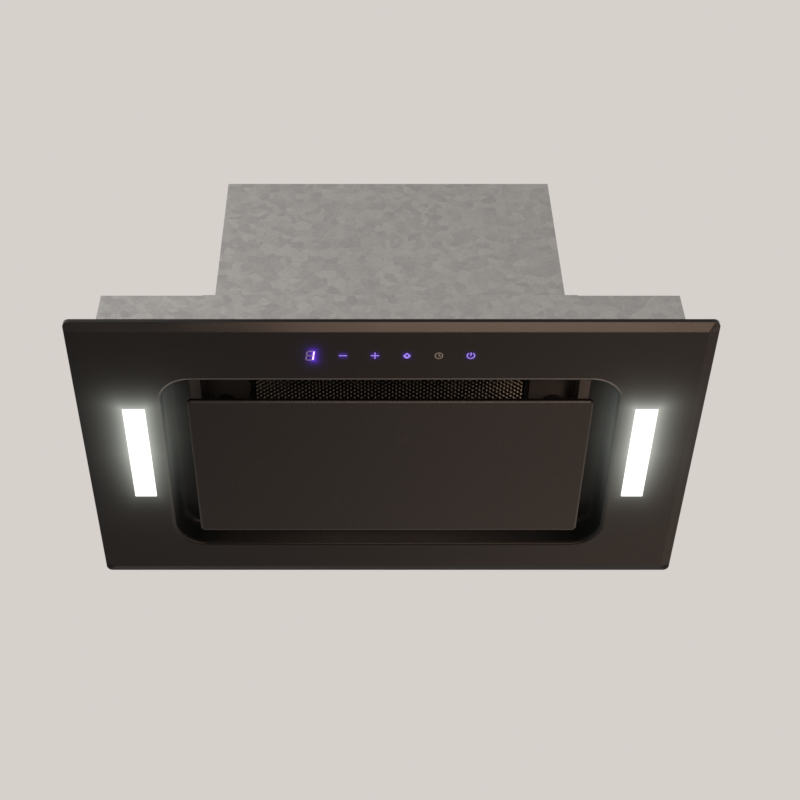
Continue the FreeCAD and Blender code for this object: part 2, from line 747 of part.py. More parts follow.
def make_blower_box():
    foot = slab(BLOWER_W + 2 * BOX_FOOT, BLOWER_D + 2 * BOX_FOOT, TRAY_H, TRAY_H + SHEET_T)
    walls = slab(BLOWER_W, BLOWER_D, TRAY_H, BLOWER_TOP)
    room = slab(BLOWER_W - 2 * SHEET_T, BLOWER_D - 2 * SHEET_T, TRAY_H, BLOWER_TOP - SHEET_T)
    mouth_w = BLOWER_W - 2 * SHEET_T - 2 * BOX_LIP
    mouth_d = BLOWER_D - 2 * SHEET_T - 2 * BOX_LIP
    mouth = slab(mouth_w, mouth_d, BLOWER_TOP - SHEET_T, BLOWER_TOP)
    holes = [screw_hole(V(x, y, BLOWER_TOP - SHEET_T), Z_AXIS, 2 * SHEET_T) for x, y in lid_screw_places()]
    save("blower_box", join(foot, walls).cut([room, mouth] + holes))
    lid = slab(BLOWER_W, BLOWER_D, BLOWER_TOP, LID_TOP)
    collar_holes = [screw_hole(V(x, y, BLOWER_TOP), Z_AXIS, SHEET_T) for x, y in collar_screw_places()]
    save("blower_lid", lid.cut([throat(BLOWER_TOP, LID_TOP)] + holes + collar_holes))
    down = -Z_AXIS
    save("lid_screws", *[screw(V(x, y, LID_TOP), down, 2 * SHEET_T) for x, y in lid_screw_places()])


def throat(z0, z1, grow=0.0):
    """The scroll's rectangular outlet between two levels."""
    x = CASING_X - CASING_T + grow
    return block(-x, x, AXIS_Y + THROAT_IN - grow, AXIS_Y + THROAT_OUT + grow, z0, z1)


def scroll(grow, x0, x1, top):
    """The scroll's inside, or its outside when grown by the wall, drawn out along X."""
    half = SPIRAL_STEP / 2
    radii = [SPIRAL_R + i * SPIRAL_STEP + grow for i in range(3)]
    centres = [(-half, -half), (half, -half), (half, half)]
    tongue_y = THROAT_IN - grow
    start = math.acos((tongue_y + half) / radii[0])
    angles = [(start, math.pi), (math.pi, 1.5 * math.pi), (1.5 * math.pi, 2 * math.pi)]

    def at(centre, radius, angle):
        y = AXIS_Y + centre[0] + radius * math.cos(angle)
        return V(x0, y, AXIS_Z + centre[1] + radius * math.sin(angle))

    edges = []
    for centre, radius, (a, b) in zip(centres, radii, angles):
        arc = Part.Arc(at(centre, radius, a), at(centre, radius, (a + b) / 2), at(centre, radius, b))
        edges.append(arc.toShape())
    tongue = edges[0].Vertexes[0].Point
    end = edges[-1].Vertexes[-1].Point
    corners = [end, V(x0, end.y, top), V(x0, tongue.y, top), tongue]
    edges += [Part.makeLine(a, b) for a, b in zip(corners, corners[1:])]
    return Part.Face(Part.Wire(edges)).extrude(V(x1 - x0, 0, 0))


def spider_angles():
    return [math.radians(90 + i * 360 / SPIDER_ARMS) for i in range(SPIDER_ARMS)]


def on_axis(x, radius=0.0, angle=0.0):
    """A point at a radius from the blower's axis."""
    return V(x, AXIS_Y + radius * math.cos(angle), AXIS_Z + radius * math.sin(angle))


def make_casing():
    eyes = []
    lips = []
    for x in (-CASING_X, CASING_X):
        out = on_axis(x - EYE_LIP if x < 0 else x)
        lips.append(rod(EYE_R + EYE_RING, out, EYE_LIP, X_AXIS))
        eyes.append(rod(EYE_R, on_axis(x - EYE_LIP), 2 * EYE_LIP, X_AXIS))
    inside = CASING_X - CASING_T
    flange = throat(THROAT_TOP - THROAT_FLANGE_T, THROAT_TOP, CASING_T + THROAT_FLANGE)
    casing = join(scroll(CASING_T, -CASING_X, CASING_X, THROAT_TOP), flange, *lips)
    holes = [
        screw_hole(V(x, y, THROAT_TOP - THROAT_FLANGE_T), Z_AXIS, THROAT_FLANGE_T)
        for x, y in collar_screw_places()
    ]
    holes += [
        screw_hole(on_axis(inside, SPIDER_FOOT_R, a), X_AXIS, CASING_T) for a in spider_angles()
    ]
    casing = casing.cut([scroll(0, -inside, inside, THROAT_TOP)] + eyes + holes)
    span = BLOWER_W / 2
    for name, side in SIDES:
        half = block(min(0, side * span), max(0, side * span), -span, span, 0, LID_TOP)
        save(f"casing_{name}", casing.common(half).removeSplitter())
    margin = CASING_T + THROAT_FLANGE
    gasket = throat(THROAT_TOP, BLOWER_TOP, margin).cut(throat(THROAT_TOP, BLOWER_TOP))
    gasket_holes = [screw_hole(V(x, y, THROAT_TOP), Z_AXIS, GASKET_T) for x, y in collar_screw_places()]
    save("outlet_gasket", gasket.cut(gasket_holes))


def blade(angle):
    """One forward-curved blade: two like arcs, a blade's thickness apart."""
    inner = IMPELLER_R - BLADE_DEPTH
    outer = IMPELLER_R - BLADE_TRIM
    middle = (inner + outer) / 2
    turn = math.radians(BLADE_TURN)
    x = -IMPELLER_W / 2
    arcs = []
    for lag in (0.0, BLADE_T / middle):
        a = angle - lag
        points = [on_axis(x, inner, a), on_axis(x, middle, a + turn / 4), on_axis(x, outer, a + turn)]
        arcs.append((Part.Arc(*points).toShape(), points))
    (first, p), (second, q) = arcs
    edges = [first, Part.makeLine(p[2], q[2]), second, Part.makeLine(q[0], p[0])]
    outline = Part.Wire(Part.__sortEdges__(edges))
    return Part.Face(outline).extrude(V(IMPELLER_W, 0, 0))


def make_impeller():
    half = IMPELLER_W / 2
    inner = IMPELLER_R - BLADE_DEPTH
    parts = [
        ring(IMPELLER_R, inner, on_axis(-half), END_RING_T, X_AXIS),
        ring(IMPELLER_R, inner, on_axis(half - END_RING_T), END_RING_T, X_AXIS),
        rod(HUB_R, on_axis(WEB_X + WEB_T / 2 - HUB_L / 2), HUB_L, X_AXIS),
    ]
    parts += [blade(2 * math.pi * i / BLADE_COUNT) for i in range(BLADE_COUNT)]
    web = rod(IMPELLER_R, on_axis(WEB_X), WEB_T, X_AXIS)
    bore = rod(SHAFT_R + ROTOR_FIT, on_axis(-half), IMPELLER_W, X_AXIS)
    save("impeller", join(web, *parts).cut(bore))


def make_motor():
    room_r = MOTOR_R - CAN_T
    boss_r = BEARING_R + RUNNING + BOSS_T
    can = rod(MOTOR_R, on_axis(MOTOR_X), MOTOR_L, X_AXIS)
    can = can.cut(rod(room_r, on_axis(MOTOR_X + CAN_T), MOTOR_L, X_AXIS))
    front = MOTOR_X + CAN_T
    boss = rod(boss_r, on_axis(front), BEARING_L, X_AXIS)
    seat = rod(BEARING_R + RUNNING, on_axis(front), BEARING_L, X_AXIS)
    shaft_way = rod(SHAFT_R + SHAFT_CLEAR, on_axis(MOTOR_X), CAN_T, X_AXIS)
    save("motor_can", join(can, boss).cut([seat, shaft_way]))
    cap = rod(MOTOR_R, on_axis(CAP_END_X), CAP_T, X_AXIS)
    rear = CAP_END_X - BEARING_L
    cap_boss = ring(boss_r, BEARING_R + RUNNING, on_axis(rear), BEARING_L, X_AXIS)
    cap_way = rod(SHAFT_R + SHAFT_CLEAR, on_axis(CAP_END_X), CAP_T, X_AXIS)
    cap_holes = [
        screw_hole(on_axis(CAP_END_X, MOTOR_SCREW_R, a), X_AXIS, CAP_T) for a in spider_angles()
    ]
    save("motor_end_cap", join(cap, cap_boss).cut([cap_way] + cap_holes))
    bearings = [
        ring(BEARING_R, SHAFT_R + RUNNING, on_axis(x), BEARING_L, X_AXIS) for x in (front, rear)
    ]
    save("motor_bearings", *bearings)
    hub_start = WEB_X + WEB_T / 2 - HUB_L / 2 - SHAFT_OUT
    shaft_end = SPIDER_X - SHAFT_OUT
    save("motor_shaft", rod(SHAFT_R, on_axis(hub_start), shaft_end - hub_start, X_AXIS))
    stack_x = MOTOR_X + (MOTOR_L - STATOR_L) / 2
    stator_out = room_r - STATOR_CLEAR
    stator_in = stator_out - STATOR_T
    save("motor_stator", ring(stator_out, stator_in, on_axis(stack_x), STATOR_L, X_AXIS))
    rotor_out = stator_in - AIR_GAP
    save("motor_rotor", ring(rotor_out, SHAFT_R + ROTOR_FIT, on_axis(stack_x), STATOR_L, X_AXIS))


def around(shape, angle):
    """A copy turned about the blower's axis."""
    turned = shape.copy()
    turned.rotate(on_axis(0), X_AXIS, math.degrees(angle))
    return turned


def make_spider():
    foot_x = CASING_X + GROMMET_T
    half = SPIDER_ARM_W / 2
    leg_in = SPIDER_LEG_R - SPIDER_T

    def limb(r0, r1, x0, x1):
        return block(x0, x1, AXIS_Y + r0, AXIS_Y + r1, AXIS_Z - half, AXIS_Z + half)

    arm = join(
        limb(SPIDER_EYE_R, SPIDER_LEG_R, SPIDER_X, SPIDER_X + SPIDER_T),
        limb(leg_in, SPIDER_LEG_R, foot_x, SPIDER_X + SPIDER_T),
        limb(leg_in, SPIDER_LEG_R + SPIDER_FOOT_L, foot_x, foot_x + SPIDER_T),
    )
    eye = rod(SPIDER_EYE_R, on_axis(SPIDER_X), SPIDER_T, X_AXIS)
    hub = rod(SPIDER_HUB_R, on_axis(SPIDER_X), SPIDER_T, X_AXIS)
    holes = []
    grommets = []
    screws = []
    for a in spider_angles():
        holes.append(screw_hole(on_axis(foot_x, SPIDER_FOOT_R, a), X_AXIS, SPIDER_T))
        holes.append(screw_hole(on_axis(SPIDER_X, MOTOR_SCREW_R, a), X_AXIS, SPIDER_T))
        seat = on_axis(CASING_X, SPIDER_FOOT_R, a)
        grommets.append(ring(GROMMET_R, SCREW_R + SCREW_CLEAR, seat, GROMMET_T, X_AXIS))
        grip = SPIDER_T + GROMMET_T
        screws.append(screw(on_axis(foot_x + SPIDER_T, SPIDER_FOOT_R, a), -X_AXIS, grip))
        screws.append(screw(on_axis(SPIDER_X + SPIDER_T, MOTOR_SCREW_R, a), -X_AXIS, SPIDER_T))
    arms = [around(arm, a) for a in spider_angles()]
    save("motor_bracket", join(hub, *arms).cut([eye] + holes))
    save("motor_grommets", *grommets)
    save("motor_screws", *screws)


def make_capacitor():
    outer = CAPACITOR_R + CLAMP_CLEAR + CLAMP_T
    wall_x = -BLOWER_W / 2 + SHEET_T
    x = wall_x + outer
    body = rod(CAPACITOR_R, V(x, -CAPACITOR_L / 2, CAPACITOR_Z), CAPACITOR_L, Y_AXIS)
    low = CAPACITOR_Z - TERMINAL_T / 2
    tabs = [
        slab(TERMINAL_W, TERMINAL_H, low, low + TERMINAL_T, x + d * TERMINAL_W, CAPACITOR_L / 2)
        for d in (-1, 1)
    ]
    save("capacitor", join(body, *tabs))
    start = V(x, -CLAMP_W / 2, CAPACITOR_Z)
    strap = rod(outer, start, CLAMP_W, Y_AXIS)
    foot = block(
        wall_x,
        wall_x + CLAMP_T,
        -CLAMP_W / 2,
        CLAMP_W / 2,
        CAPACITOR_Z - CLAMP_FOOT,
        CAPACITOR_Z + CLAMP_FOOT,
    )
    save("capacitor_clamp", join(strap, foot).cut(rod(outer - CLAMP_T, start, CLAMP_W, Y_AXIS)))


def make_collar():
    base_top = LID_TOP + COLLAR_BASE_T
    centre = V(0, COLLAR_Y, LID_TOP)
    base = rounded_slab(COLLAR_BASE, COLLAR_BASE, COLLAR_BASE_R, LID_TOP, base_top, y=COLLAR_Y)
    tube = rod(COLLAR_R, centre, COLLAR_BASE_T + COLLAR_H, Z_AXIS)
    bore = rod(BORE_R, centre, COLLAR_BASE_T + COLLAR_H, Z_AXIS)
    seat_top = FLAP_Z - FLAP_T / 2 - FLAP_SEAT_GAP
    seat = ring(BORE_R, BORE_R - FLAP_SEAT_W, V(0, COLLAR_Y, seat_top - FLAP_SEAT_T), FLAP_SEAT_T, Z_AXIS)
    holes = [screw_hole(V(x, y, LID_TOP), Z_AXIS, COLLAR_BASE_T) for x, y in collar_screw_places()]
    pin_x = BORE_R + FLAP_PIN_BITE
    socket = rod(FLAP_PIN_R + RUNNING, V(-pin_x, COLLAR_Y, FLAP_Z), 2 * pin_x, X_AXIS)
    save("outlet_collar", join(join(base, tube).cut([bore] + holes), seat).cut(socket))
    pin_x -= RUNNING
    save("flap_pin", rod(FLAP_PIN_R, V(-pin_x, COLLAR_Y, FLAP_Z), 2 * pin_x, X_AXIS))
    grip = COLLAR_BASE_T + SHEET_T + GASKET_T + THROAT_FLANGE_T
    save("collar_screws", *[screw(V(x, y, base_top), -Z_AXIS, grip) for x, y in collar_screw_places()])


def make_flap(name, side, knuckles):
    """Half a disc with its knuckles round the pin; side is -1 in front of the pin and 1 behind."""
    radius = BORE_R - FLAP_CLEAR
    edge = KNUCKLE_R + KNUCKLE_GAP
    disc = rod(radius, V(0, COLLAR_Y, FLAP_Z - FLAP_T / 2), FLAP_T, Z_AXIS)
    near = COLLAR_Y + side * edge
    far = COLLAR_Y + side * radius
    half = block(-radius, radius, min(near, far), max(near, far), FLAP_Z - FLAP_T, FLAP_Z + FLAP_T)
    barrels = []
    for x in knuckles:
        x0 = x - KNUCKLE_L / 2
        barrels.append(rod(KNUCKLE_R, V(x0, COLLAR_Y, FLAP_Z), KNUCKLE_L, X_AXIS))
        y0, y1 = sorted((COLLAR_Y, near))
        barrels.append(block(x0, x0 + KNUCKLE_L, y0, y1, FLAP_Z - FLAP_T / 2, FLAP_Z + FLAP_T / 2))
    bore = rod(FLAP_PIN_R + RUNNING, V(-radius, COLLAR_Y, FLAP_Z), 2 * radius, X_AXIS)
    save(name, join(disc.common(half), *barrels).cut(bore))


def make_flaps():
    pitch = KNUCKLE_L + KNUCKLE_GAP
    make_flap("flap_front", -1, [-2 * pitch, 0, 2 * pitch])
    make_flap("flap_rear", 1, [-pitch, pitch])


def make_power_box():
    top = TRAY_H + POWER_H
    outer = slab(POWER_W, POWER_D, TRAY_H, top, POWER_X)
    room_w = POWER_W - 2 * POWER_T
    room_d = POWER_D - 2 * POWER_T
    room = slab(room_w, room_d, POWER_Z, top, POWER_X)
    post_z = POWER_Z + POWER_POST_H
    post_x = room_w / 2 - POWER_POST_IN
    post_y = room_d / 2 - POWER_POST_IN
    posts = [
        rod(POWER_POST_R, V(POWER_X + i * post_x, j * post_y, POWER_Z), POWER_POST_H, Z_AXIS)
        for i in (-1, 1)
        for j in (-1, 1)
    ]
    gland_z = post_z + BOARD_T + TERMINALS_H / 2 + GLAND_R / 2
    wall_y = POWER_D / 2
    gland_hole = rod(GLAND_R + GLAND_CLEAR, V(POWER_X, wall_y - POWER_T, gland_z), POWER_T, Y_AXIS)
    save("power_box", join(outer.cut([room, gland_hole]), *posts))
    lid = slab(POWER_W, POWER_D, top, top + POWER_T, POWER_X)
    lip_w = room_w - 2 * BOARD_CLEAR
    lip_d = room_d - 2 * BOARD_CLEAR
    lip = slab(lip_w, lip_d, top - POWER_LIP, top, POWER_X)
    lip = lip.cut(slab(lip_w - 2 * POWER_T, lip_d - 2 * POWER_T, top - POWER_LIP, top, POWER_X))
    save("power_box_cover", join(lid, lip))
    board_w = room_w - 2 * POWER_BOARD_IN
    board_d = room_d - 2 * POWER_BOARD_IN
    board_top = post_z + BOARD_T
    board = slab(board_w, board_d, post_z, board_top, POWER_X)
    coil_y = -board_d / 2 + COIL_D
    coil = slab(COIL_W, COIL_D, board_top, board_top + COIL_H, POWER_X, coil_y)
    save("power_board", join(board, coil))
    block_y = board_d / 2 - TERMINALS_D / 2 - GLAND_HEX_T
    save(
        "terminal_block",
        slab(TERMINALS_W, TERMINALS_D, board_top, board_top + TERMINALS_H, POWER_X, block_y),
    )
    inner_y = wall_y - POWER_T
    barrel = rod(GLAND_R, V(POWER_X, inner_y, gland_z), POWER_T, Y_AXIS)
    hexagon = Part.makePolygon(
        [
            V(
                POWER_X + GLAND_HEX * math.cos(math.radians(60 * i)),
                wall_y,
                gland_z + GLAND_HEX * math.sin(math.radians(60 * i)),
            )
            for i in range(7)
        ]
    )
    nut = Part.Face(hexagon).extrude(V(0, GLAND_HEX_T, 0))
    nose_y = wall_y + GLAND_HEX_T
    nose = Part.makeCone(
        GLAND_R, GLAND_NOSE_R, GLAND_NOSE_L, V(POWER_X, nose_y, gland_z), Y_AXIS
    )
    way = rod(GLAND_BORE_R, V(POWER_X, inner_y, gland_z), POWER_T + GLAND_HEX_T + GLAND_NOSE_L, Y_AXIS)
    save("cable_gland", join(barrel, nut, nose).cut(way))


os.makedirs("parts", exist_ok=True)
make_fascia()
make_plate()
make_hinges()
make_catches()
make_pan()
make_filter()
make_latch()
make_lamps()
make_control()
make_tray()
make_clips()
make_blower_box()
make_casing()
make_impeller()
make_motor()
make_spider()
make_capacitor()
make_collar()
make_flaps()
make_power_box()
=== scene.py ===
import json
import math

import bmesh
import bpy
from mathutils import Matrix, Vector


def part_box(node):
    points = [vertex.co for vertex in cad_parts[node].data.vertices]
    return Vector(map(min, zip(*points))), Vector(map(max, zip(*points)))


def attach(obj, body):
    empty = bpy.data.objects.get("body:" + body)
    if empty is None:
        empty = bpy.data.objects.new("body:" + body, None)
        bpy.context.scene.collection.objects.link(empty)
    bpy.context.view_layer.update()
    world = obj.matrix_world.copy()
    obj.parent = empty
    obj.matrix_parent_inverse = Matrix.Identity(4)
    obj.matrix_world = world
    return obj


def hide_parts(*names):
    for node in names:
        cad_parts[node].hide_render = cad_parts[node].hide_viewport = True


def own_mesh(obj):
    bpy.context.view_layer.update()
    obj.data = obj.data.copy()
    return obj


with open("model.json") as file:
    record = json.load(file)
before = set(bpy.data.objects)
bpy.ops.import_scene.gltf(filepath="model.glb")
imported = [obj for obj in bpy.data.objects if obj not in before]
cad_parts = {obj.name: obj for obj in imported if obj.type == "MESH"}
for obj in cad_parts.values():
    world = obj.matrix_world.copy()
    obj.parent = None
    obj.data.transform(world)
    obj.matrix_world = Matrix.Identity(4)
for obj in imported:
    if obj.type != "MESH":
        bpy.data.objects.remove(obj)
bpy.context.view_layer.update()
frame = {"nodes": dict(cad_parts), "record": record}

# Looks of a built-in range hood, in metres, in the CAD frame: +X right, -Y to the front, +Z up.
CAD_NODES = frame["nodes"]
MM = 0.001
FULL_TURN = 360

# Where the CAD pieces that carry new detail lie
PANEL_LOW, PANEL_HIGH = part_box("fascia_panel")
LENS_LOW, LENS_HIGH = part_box("lamp_lens_right")
GUIDES_LOW, GUIDES_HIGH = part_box("light_guides")
DISPLAY_LOW, DISPLAY_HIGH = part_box("display_module")
PLATE_LOW, PLATE_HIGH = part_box("glass_plate")
MESH_LOW, MESH_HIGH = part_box("filter_mesh")
CORE_LOW, CORE_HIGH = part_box("filter_core")
PAN_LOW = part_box("inlet_pan")[0]
SPRING_LOW, SPRING_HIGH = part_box("latch_spring")
FACE_Z = PANEL_LOW.z

# Places of the control row: a digit, then keys over the light guides, each as wide as it is deep
KEY_COUNT = 5
KEY_Y = (GUIDES_LOW.y + GUIDES_HIGH.y) / 2
GUIDE_SIZE = GUIDES_HIGH.y - GUIDES_LOW.y
KEY_FIRST = GUIDES_LOW.x + GUIDE_SIZE / 2
KEY_PITCH = (GUIDES_HIGH.x - GUIDES_LOW.x - GUIDE_SIZE) / (KEY_COUNT - 1)
KEY_PLACES = [KEY_FIRST + i * KEY_PITCH for i in range(KEY_COUNT)]
DIGIT_SHIFT = -0.9 * MM
DIGIT_X = (DISPLAY_LOW.x + DISPLAY_HIGH.x) / 2 + DIGIT_SHIFT

# The one key that isn't lit, counted from 0 at the left
TIMER_KEY = 3

# Camera of the photograph, measured from the frame's origin: angles in degrees, lens and film in millimetres
CAMERA_PLACE = (-21.25 * MM, -1011.6 * MM, -1001.1 * MM)
CAMERA_LEVEL = 90
CAMERA_PITCH_UP = 46.8
CAMERA_LENS = 65.85
CAMERA_FILM = 36.0
CAMERA_SHIFT = (0.0406, -0.0006)

# Stage: a floor well below the camera, which fades into the backdrop between two distances
FLOOR_Z = -1.45
FLOOR_SIZE = 80.0
FLOOR_CELLS = 4
FLOOR_FADE = (4.0, 18.0)
FLOOR_COLOUR = (0.72, 0.66, 0.62)
FLOOR_SPREAD = 0.03
FLOOR_ROUGH = 0.7
BACKDROP_COLOUR = (0.68, 0.635, 0.605)
AMBIENT_COLOUR = (1.0, 0.97, 0.94)
AMBIENT_STRENGTH = 0.30

# How much of the backdrop's colour each kind of ray sees, on the floor below the object and farther away
FLOOR_SEEN_PALE = {"Is Camera Ray": 0.8, "Is Glossy Ray": 0.15, "Is Transmission Ray": 0.15}
BACKDROP_SEEN = {"Is Camera Ray": 1.0, "Is Glossy Ray": 1.0, "Is Transmission Ray": 1.0}

# Lamps: place, the point that each looks at, width and depth, spread in degrees, power and colour
DAYLIGHT = (1.0, 0.97, 0.94)
WARM = (1.0, 0.76, 0.62)
AMBER = (1.0, 0.67, 0.49)
LAMPS = (
    ("key_lamp", (-1.6, -2.2, 1.5), (0, 0, 0.1), (2.2, 2.2), 180, 23.0, DAYLIGHT),
    ("fill_lamp", (2.2, -1.6, 0.6), (0, 0, 0.1), (1.8, 1.8), 180, 16.0, DAYLIGHT),
    ("back_lamp", (0.4, 2.4, 1.6), (0, 0, 0.15), (1.6, 1.6), 180, 14.0, DAYLIGHT),
    ("front_lamp", (0.30, -0.40, -0.32), (0.150, -0.055, 0.045), (0.08, 0.08), 20, 0.0055, WARM),
    ("floor_lamp", (1.45, 2.3, -0.7), (1.45, 2.3, -1.45), (2.9, 4.2), 180, 60.0, WARM),
    ("low_lamp", (0.285, -0.27, -1.40), (0.285, -0.27, 0.0), (0.93, 0.45), 180, 11.0, AMBER),
)
REFLECTED_ONLY = ("low_lamp",)

# Painted glow of the light that spills onto the panel: how far it reaches, and how bright it is where it
# starts
LAMP_NEAR = (4.0 * MM, 0.08)
LAMP_FAR = (10.5 * MM, 0.40)
LAMP_WIDE = (45.0 * MM, 0.012)
LAMP_TINT = (0.95, 1.0, 0.91)
DIGIT_NEAR = (2.2 * MM, 0.75)
DIGIT_FAR = (7.0 * MM, 0.02)
KEY_SPILL = (1.1 * MM, 0.13)
LIT_TINT = (0.17, 0.04, 1.0)

# Where that light starts: the lens's rim lies behind the panel, and its rear end gives only a share
LENS_LEDGE = 3.2 * MM
LAMP_REAR = 0.2
KEY_SPILL_HALF = 2.6 * MM

# How much of that painted glow the recess shows past some depth, at two places between its front and its
# rear
SPILL_DEPTH = (1.5 * MM, 3.5 * MM)
RECESS_SPILL = (0.42, 0.88)
RECESS_SPILL_Y = (-85.0 * MM, -35.0 * MM)

# Noise in the finishes: the span that most of it lies in, soft blotches, and how detailed a fine grain is
NOISE_SPAN = (0.3, 0.7)
BLOTCHES = {"scale": 14.0, "detail": 4.0}
GRAIN_DETAIL = 2.0
BLOTCH_AND_GRAIN = (0.6, 0.4)
SHADE_SPREAD = 0.12

# Finish of the panel: its black, its smears and its grain
PANEL_IOR = 1.5
PANEL_TONES = ((0.0036, 0.0026, 0.0021), (0.0046, 0.0033, 0.0027))
PANEL_CLOUDS = {"scale": 5.0, "detail": 3.0}
PANEL_SMEARS = {"scale": 38.0, "detail": 5.0, "rough": 0.6, "distort": 0.4}
PANEL_SMEAR_STRETCH = (0.35, 1.0, 1.0)
PANEL_ROUGH = (0.20, 0.29)
PANEL_GRAIN = 2600.0
PANEL_GRAIN_DEPTH = 0.004 * MM

# Gloss of the panel: on its face, its cut rim, its bevels and the recess's rounded front lip
PANEL_GLOSS = 0.22
RIM_EDGE = 0.6 * MM
RIM_GLOSS = 0.1
BEVEL_W = 9.5 * MM
FRONT_BEVEL_GLOSS = 1.65
REAR_BEVEL_GLOSS = 0.3
LIP_GLOSS = 1.8
LIP_DEPTH = (0.02 * MM, 0.10 * MM, 1.5 * MM, 3.0 * MM)
LIP_ENDS_Y = (-98.0 * MM, -82.0 * MM)

# The recess: how far it reaches past the plate, how dull it is, and a painted pool of light on its rear
# wall, paler at the middle
RECESS_MARGIN = (29.5 * MM, 27.0 * MM)
RECESS_HALF = [(PLATE_HIGH[k] - PLATE_LOW[k]) / 2 + RECESS_MARGIN[k] for k in (0, 1)]
RECESS_Y = (PLATE_LOW.y + PLATE_HIGH.y) / 2
RECESS_EDGE = 1.0 * MM
RECESS_GLOSS = 0.2
REAR_WALL_X = (50.0 * MM, 195.0 * MM)
REAR_WALL_Y = (115.0 * MM, 121.0 * MM)
REAR_WALL_PAINTED_LIGHT = (0.15, 0.128, 0.115)
REAR_WALL_DEPTH = (0.3 * MM, 6.0 * MM)
REAR_LIP_DEPTH = (0.1 * MM, 0.4 * MM)
REAR_WALL_GLOSS = 0.35

# Finish of the glass plate: how far its polished edge, glossier and with a painted highlight, reaches in,
# and over how much it blends
GLASS_IOR = 1.5
GLASS_TONES = ((0.0046, 0.0033, 0.0027), (0.0062, 0.0044, 0.0035))
GLASS_CLOUDS = {"scale": 4.0, "detail": 2.0}
GLASS_SMEARS = {"scale": 30.0, "detail": 6.0, "rough": 0.65, "distort": 0.6}
GLASS_SMEAR_STRETCH = (1.0, 0.3, 1.0)
GLASS_ROUGH = (0.20, 0.31)
GLASS_GRAIN = 900.0
GLASS_GRAIN_DEPTH = 0.003 * MM
GLASS_GLOSS = 0.29
EDGE_GLOSS = (0.45, 0.62)
EDGE_PAINTED_HIGHLIGHT = 2.0
EDGE_REACH = 2.6 * MM
EDGE_BLEND = (0.2 * MM, 0.8 * MM)

# Finish of the inlet pan: its ledge, and the lighter inside above it
PAN_COLOUR = (0.10, 0.088, 0.080)
PAN_SHADE = (1.0, 1.2)
PAN_LEDGE_Z = (1.5 * MM, 5.0 * MM)
PAN_GLOSS = 0.25
PAN_ROUGH = (0.42, 0.56)
PAN_GRAIN = 1100.0
PAN_GRAIN_DEPTH = 0.03 * MM

# Finish of the lamps' lenses: a milky diffuser with a row of brighter spots
LENS_TONES = ((0.80, 0.83, 0.80), (0.88, 0.90, 0.88))
LENS_GLOW = ((0.0, (0.82, 0.93, 0.87)), (1.0, (0.95, 1.0, 0.97)))
LENS_STRENGTH = 1.2
LENS_SPOTS = 8
LENS_ROUGH = 0.4
LENS_GRAIN = 700.0
LENS_GRAIN_DEPTH = 0.01 * MM

# Finish of the zinc-coated sheets: large crystals, small crystals and a dull film, and the share of each
SHEET_CRYSTALS = (110.0, 330.0)
SHEET_FILM = {"scale": 4.0, "detail": 2.0}
SHEET_SHARES = (0.42, 0.22, 0.36)
SHEET_TONES = ((0.2, (0.335, 0.339, 0.338)), (0.5, (0.39, 0.393, 0.39)), (0.8, (0.44, 0.442, 0.435)))
SHEET_METAL = 0.75
SHEET_ROUGH = (0.47, 0.59)
SHEET_RIPPLE = 300.0
SHEET_RIPPLE_DEPTH = 0.01 * MM
SHEET_RIPPLE_STRENGTH = 0.4

# Finish of the motor's laminations
LAMINATION_T = 0.5 * MM
LAMINATION_TONES = ((0.1, (0.10, 0.095, 0.09)), (0.3, (0.26, 0.25, 0.24)))
LAMINATION_METAL = 0.8
LAMINATION_ROUGH = (0.4, 0.6)
LAMINATION_BLOTCHES = 60.0
LAMINATION_DEPTH = 0.05 * MM

# Finish of the circuit boards
TRACK_CELLS = 260.0
TRACK_TONES = ((0.02, (0.05, 0.20, 0.08)), (0.06, (0.016, 0.10, 0.04)))
TRACK_DEPTH = 0.03 * MM
BOARD_ROUGH = 0.35

# Finish of the lit symbols, and the unlit segments that still show
KEY_COLOUR = (0.29, 0.20, 0.84)
KEY_STRENGTH = 0.72
DIGIT_COLOUR = (0.86, 0.62, 1.0)
UNLIT_COLOUR = (0.105, 0.068, 0.185)
LIT_ROUGH = 0.4
LIT_GRAIN = 900.0
LIT_SPREAD = 0.08

# Symbols of the control row: flat windows in the panel, as strokes with round ends
INLAY_T = 0.06 * MM
WELD = 0.001 * MM
STROKE = 1.05 * MM
CAP_STEPS = 6
ARC_STEPS = 40
SYMBOL_R = 3.4 * MM
LAMP_HOLE_R = 1.3 * MM
LAMP_REACH = (3.45 * MM, 3.45 * MM)
LAMP_BULGE = 1.5

# Angles in degrees, and reaches, of the strokes in the plus, the timer and the power sign
PLUS_ARMS = [(turn, SYMBOL_R) for turn in (0, 90, 180, 270)]
TIMER_STROKE = 1.0 * MM
TIMER_CENTRE = (0, -0.1 * SYMBOL_R)
TIMER_HANDS = [(0, 0.5 * SYMBOL_R), (90, 0.65 * SYMBOL_R)]
POWER_ARC = (120, 420)
POWER_BAR = ((0, 0.05 * SYMBOL_R), (0, 1.0 * SYMBOL_R))

# The digit: its corners, its slant, and the gaps that its segments leave at the corners
DIGIT_HALF_W = 3.15 * MM
DIGIT_HALF_H = 5.2 * MM
DIGIT_SLANT = 0.15
DIGIT_GAP = 0.8 * MM
UNLIT_GAP = {"left": 1.08 * MM, "right": 1.36 * MM}
DIGIT_STROKE = 1.5 * MM
UNLIT_STROKE = 1.4 * MM

# Pieces whose edges are softened a little, as folding and moulding leave them
SOFT_EDGE = 0.4 * MM
SOFT_EDGE_STEPS = 2
SOFT_EDGE_ANGLE = 50
SOFT_EDGED = (
    "housing_tray", "blower_box", "blower_lid", "power_box", "power_box_cover", "outlet_collar",
    "cable_gland", "filter_frame", "latch_housing", "filter_latch", "magnet_posts", "inlet_pan",
)

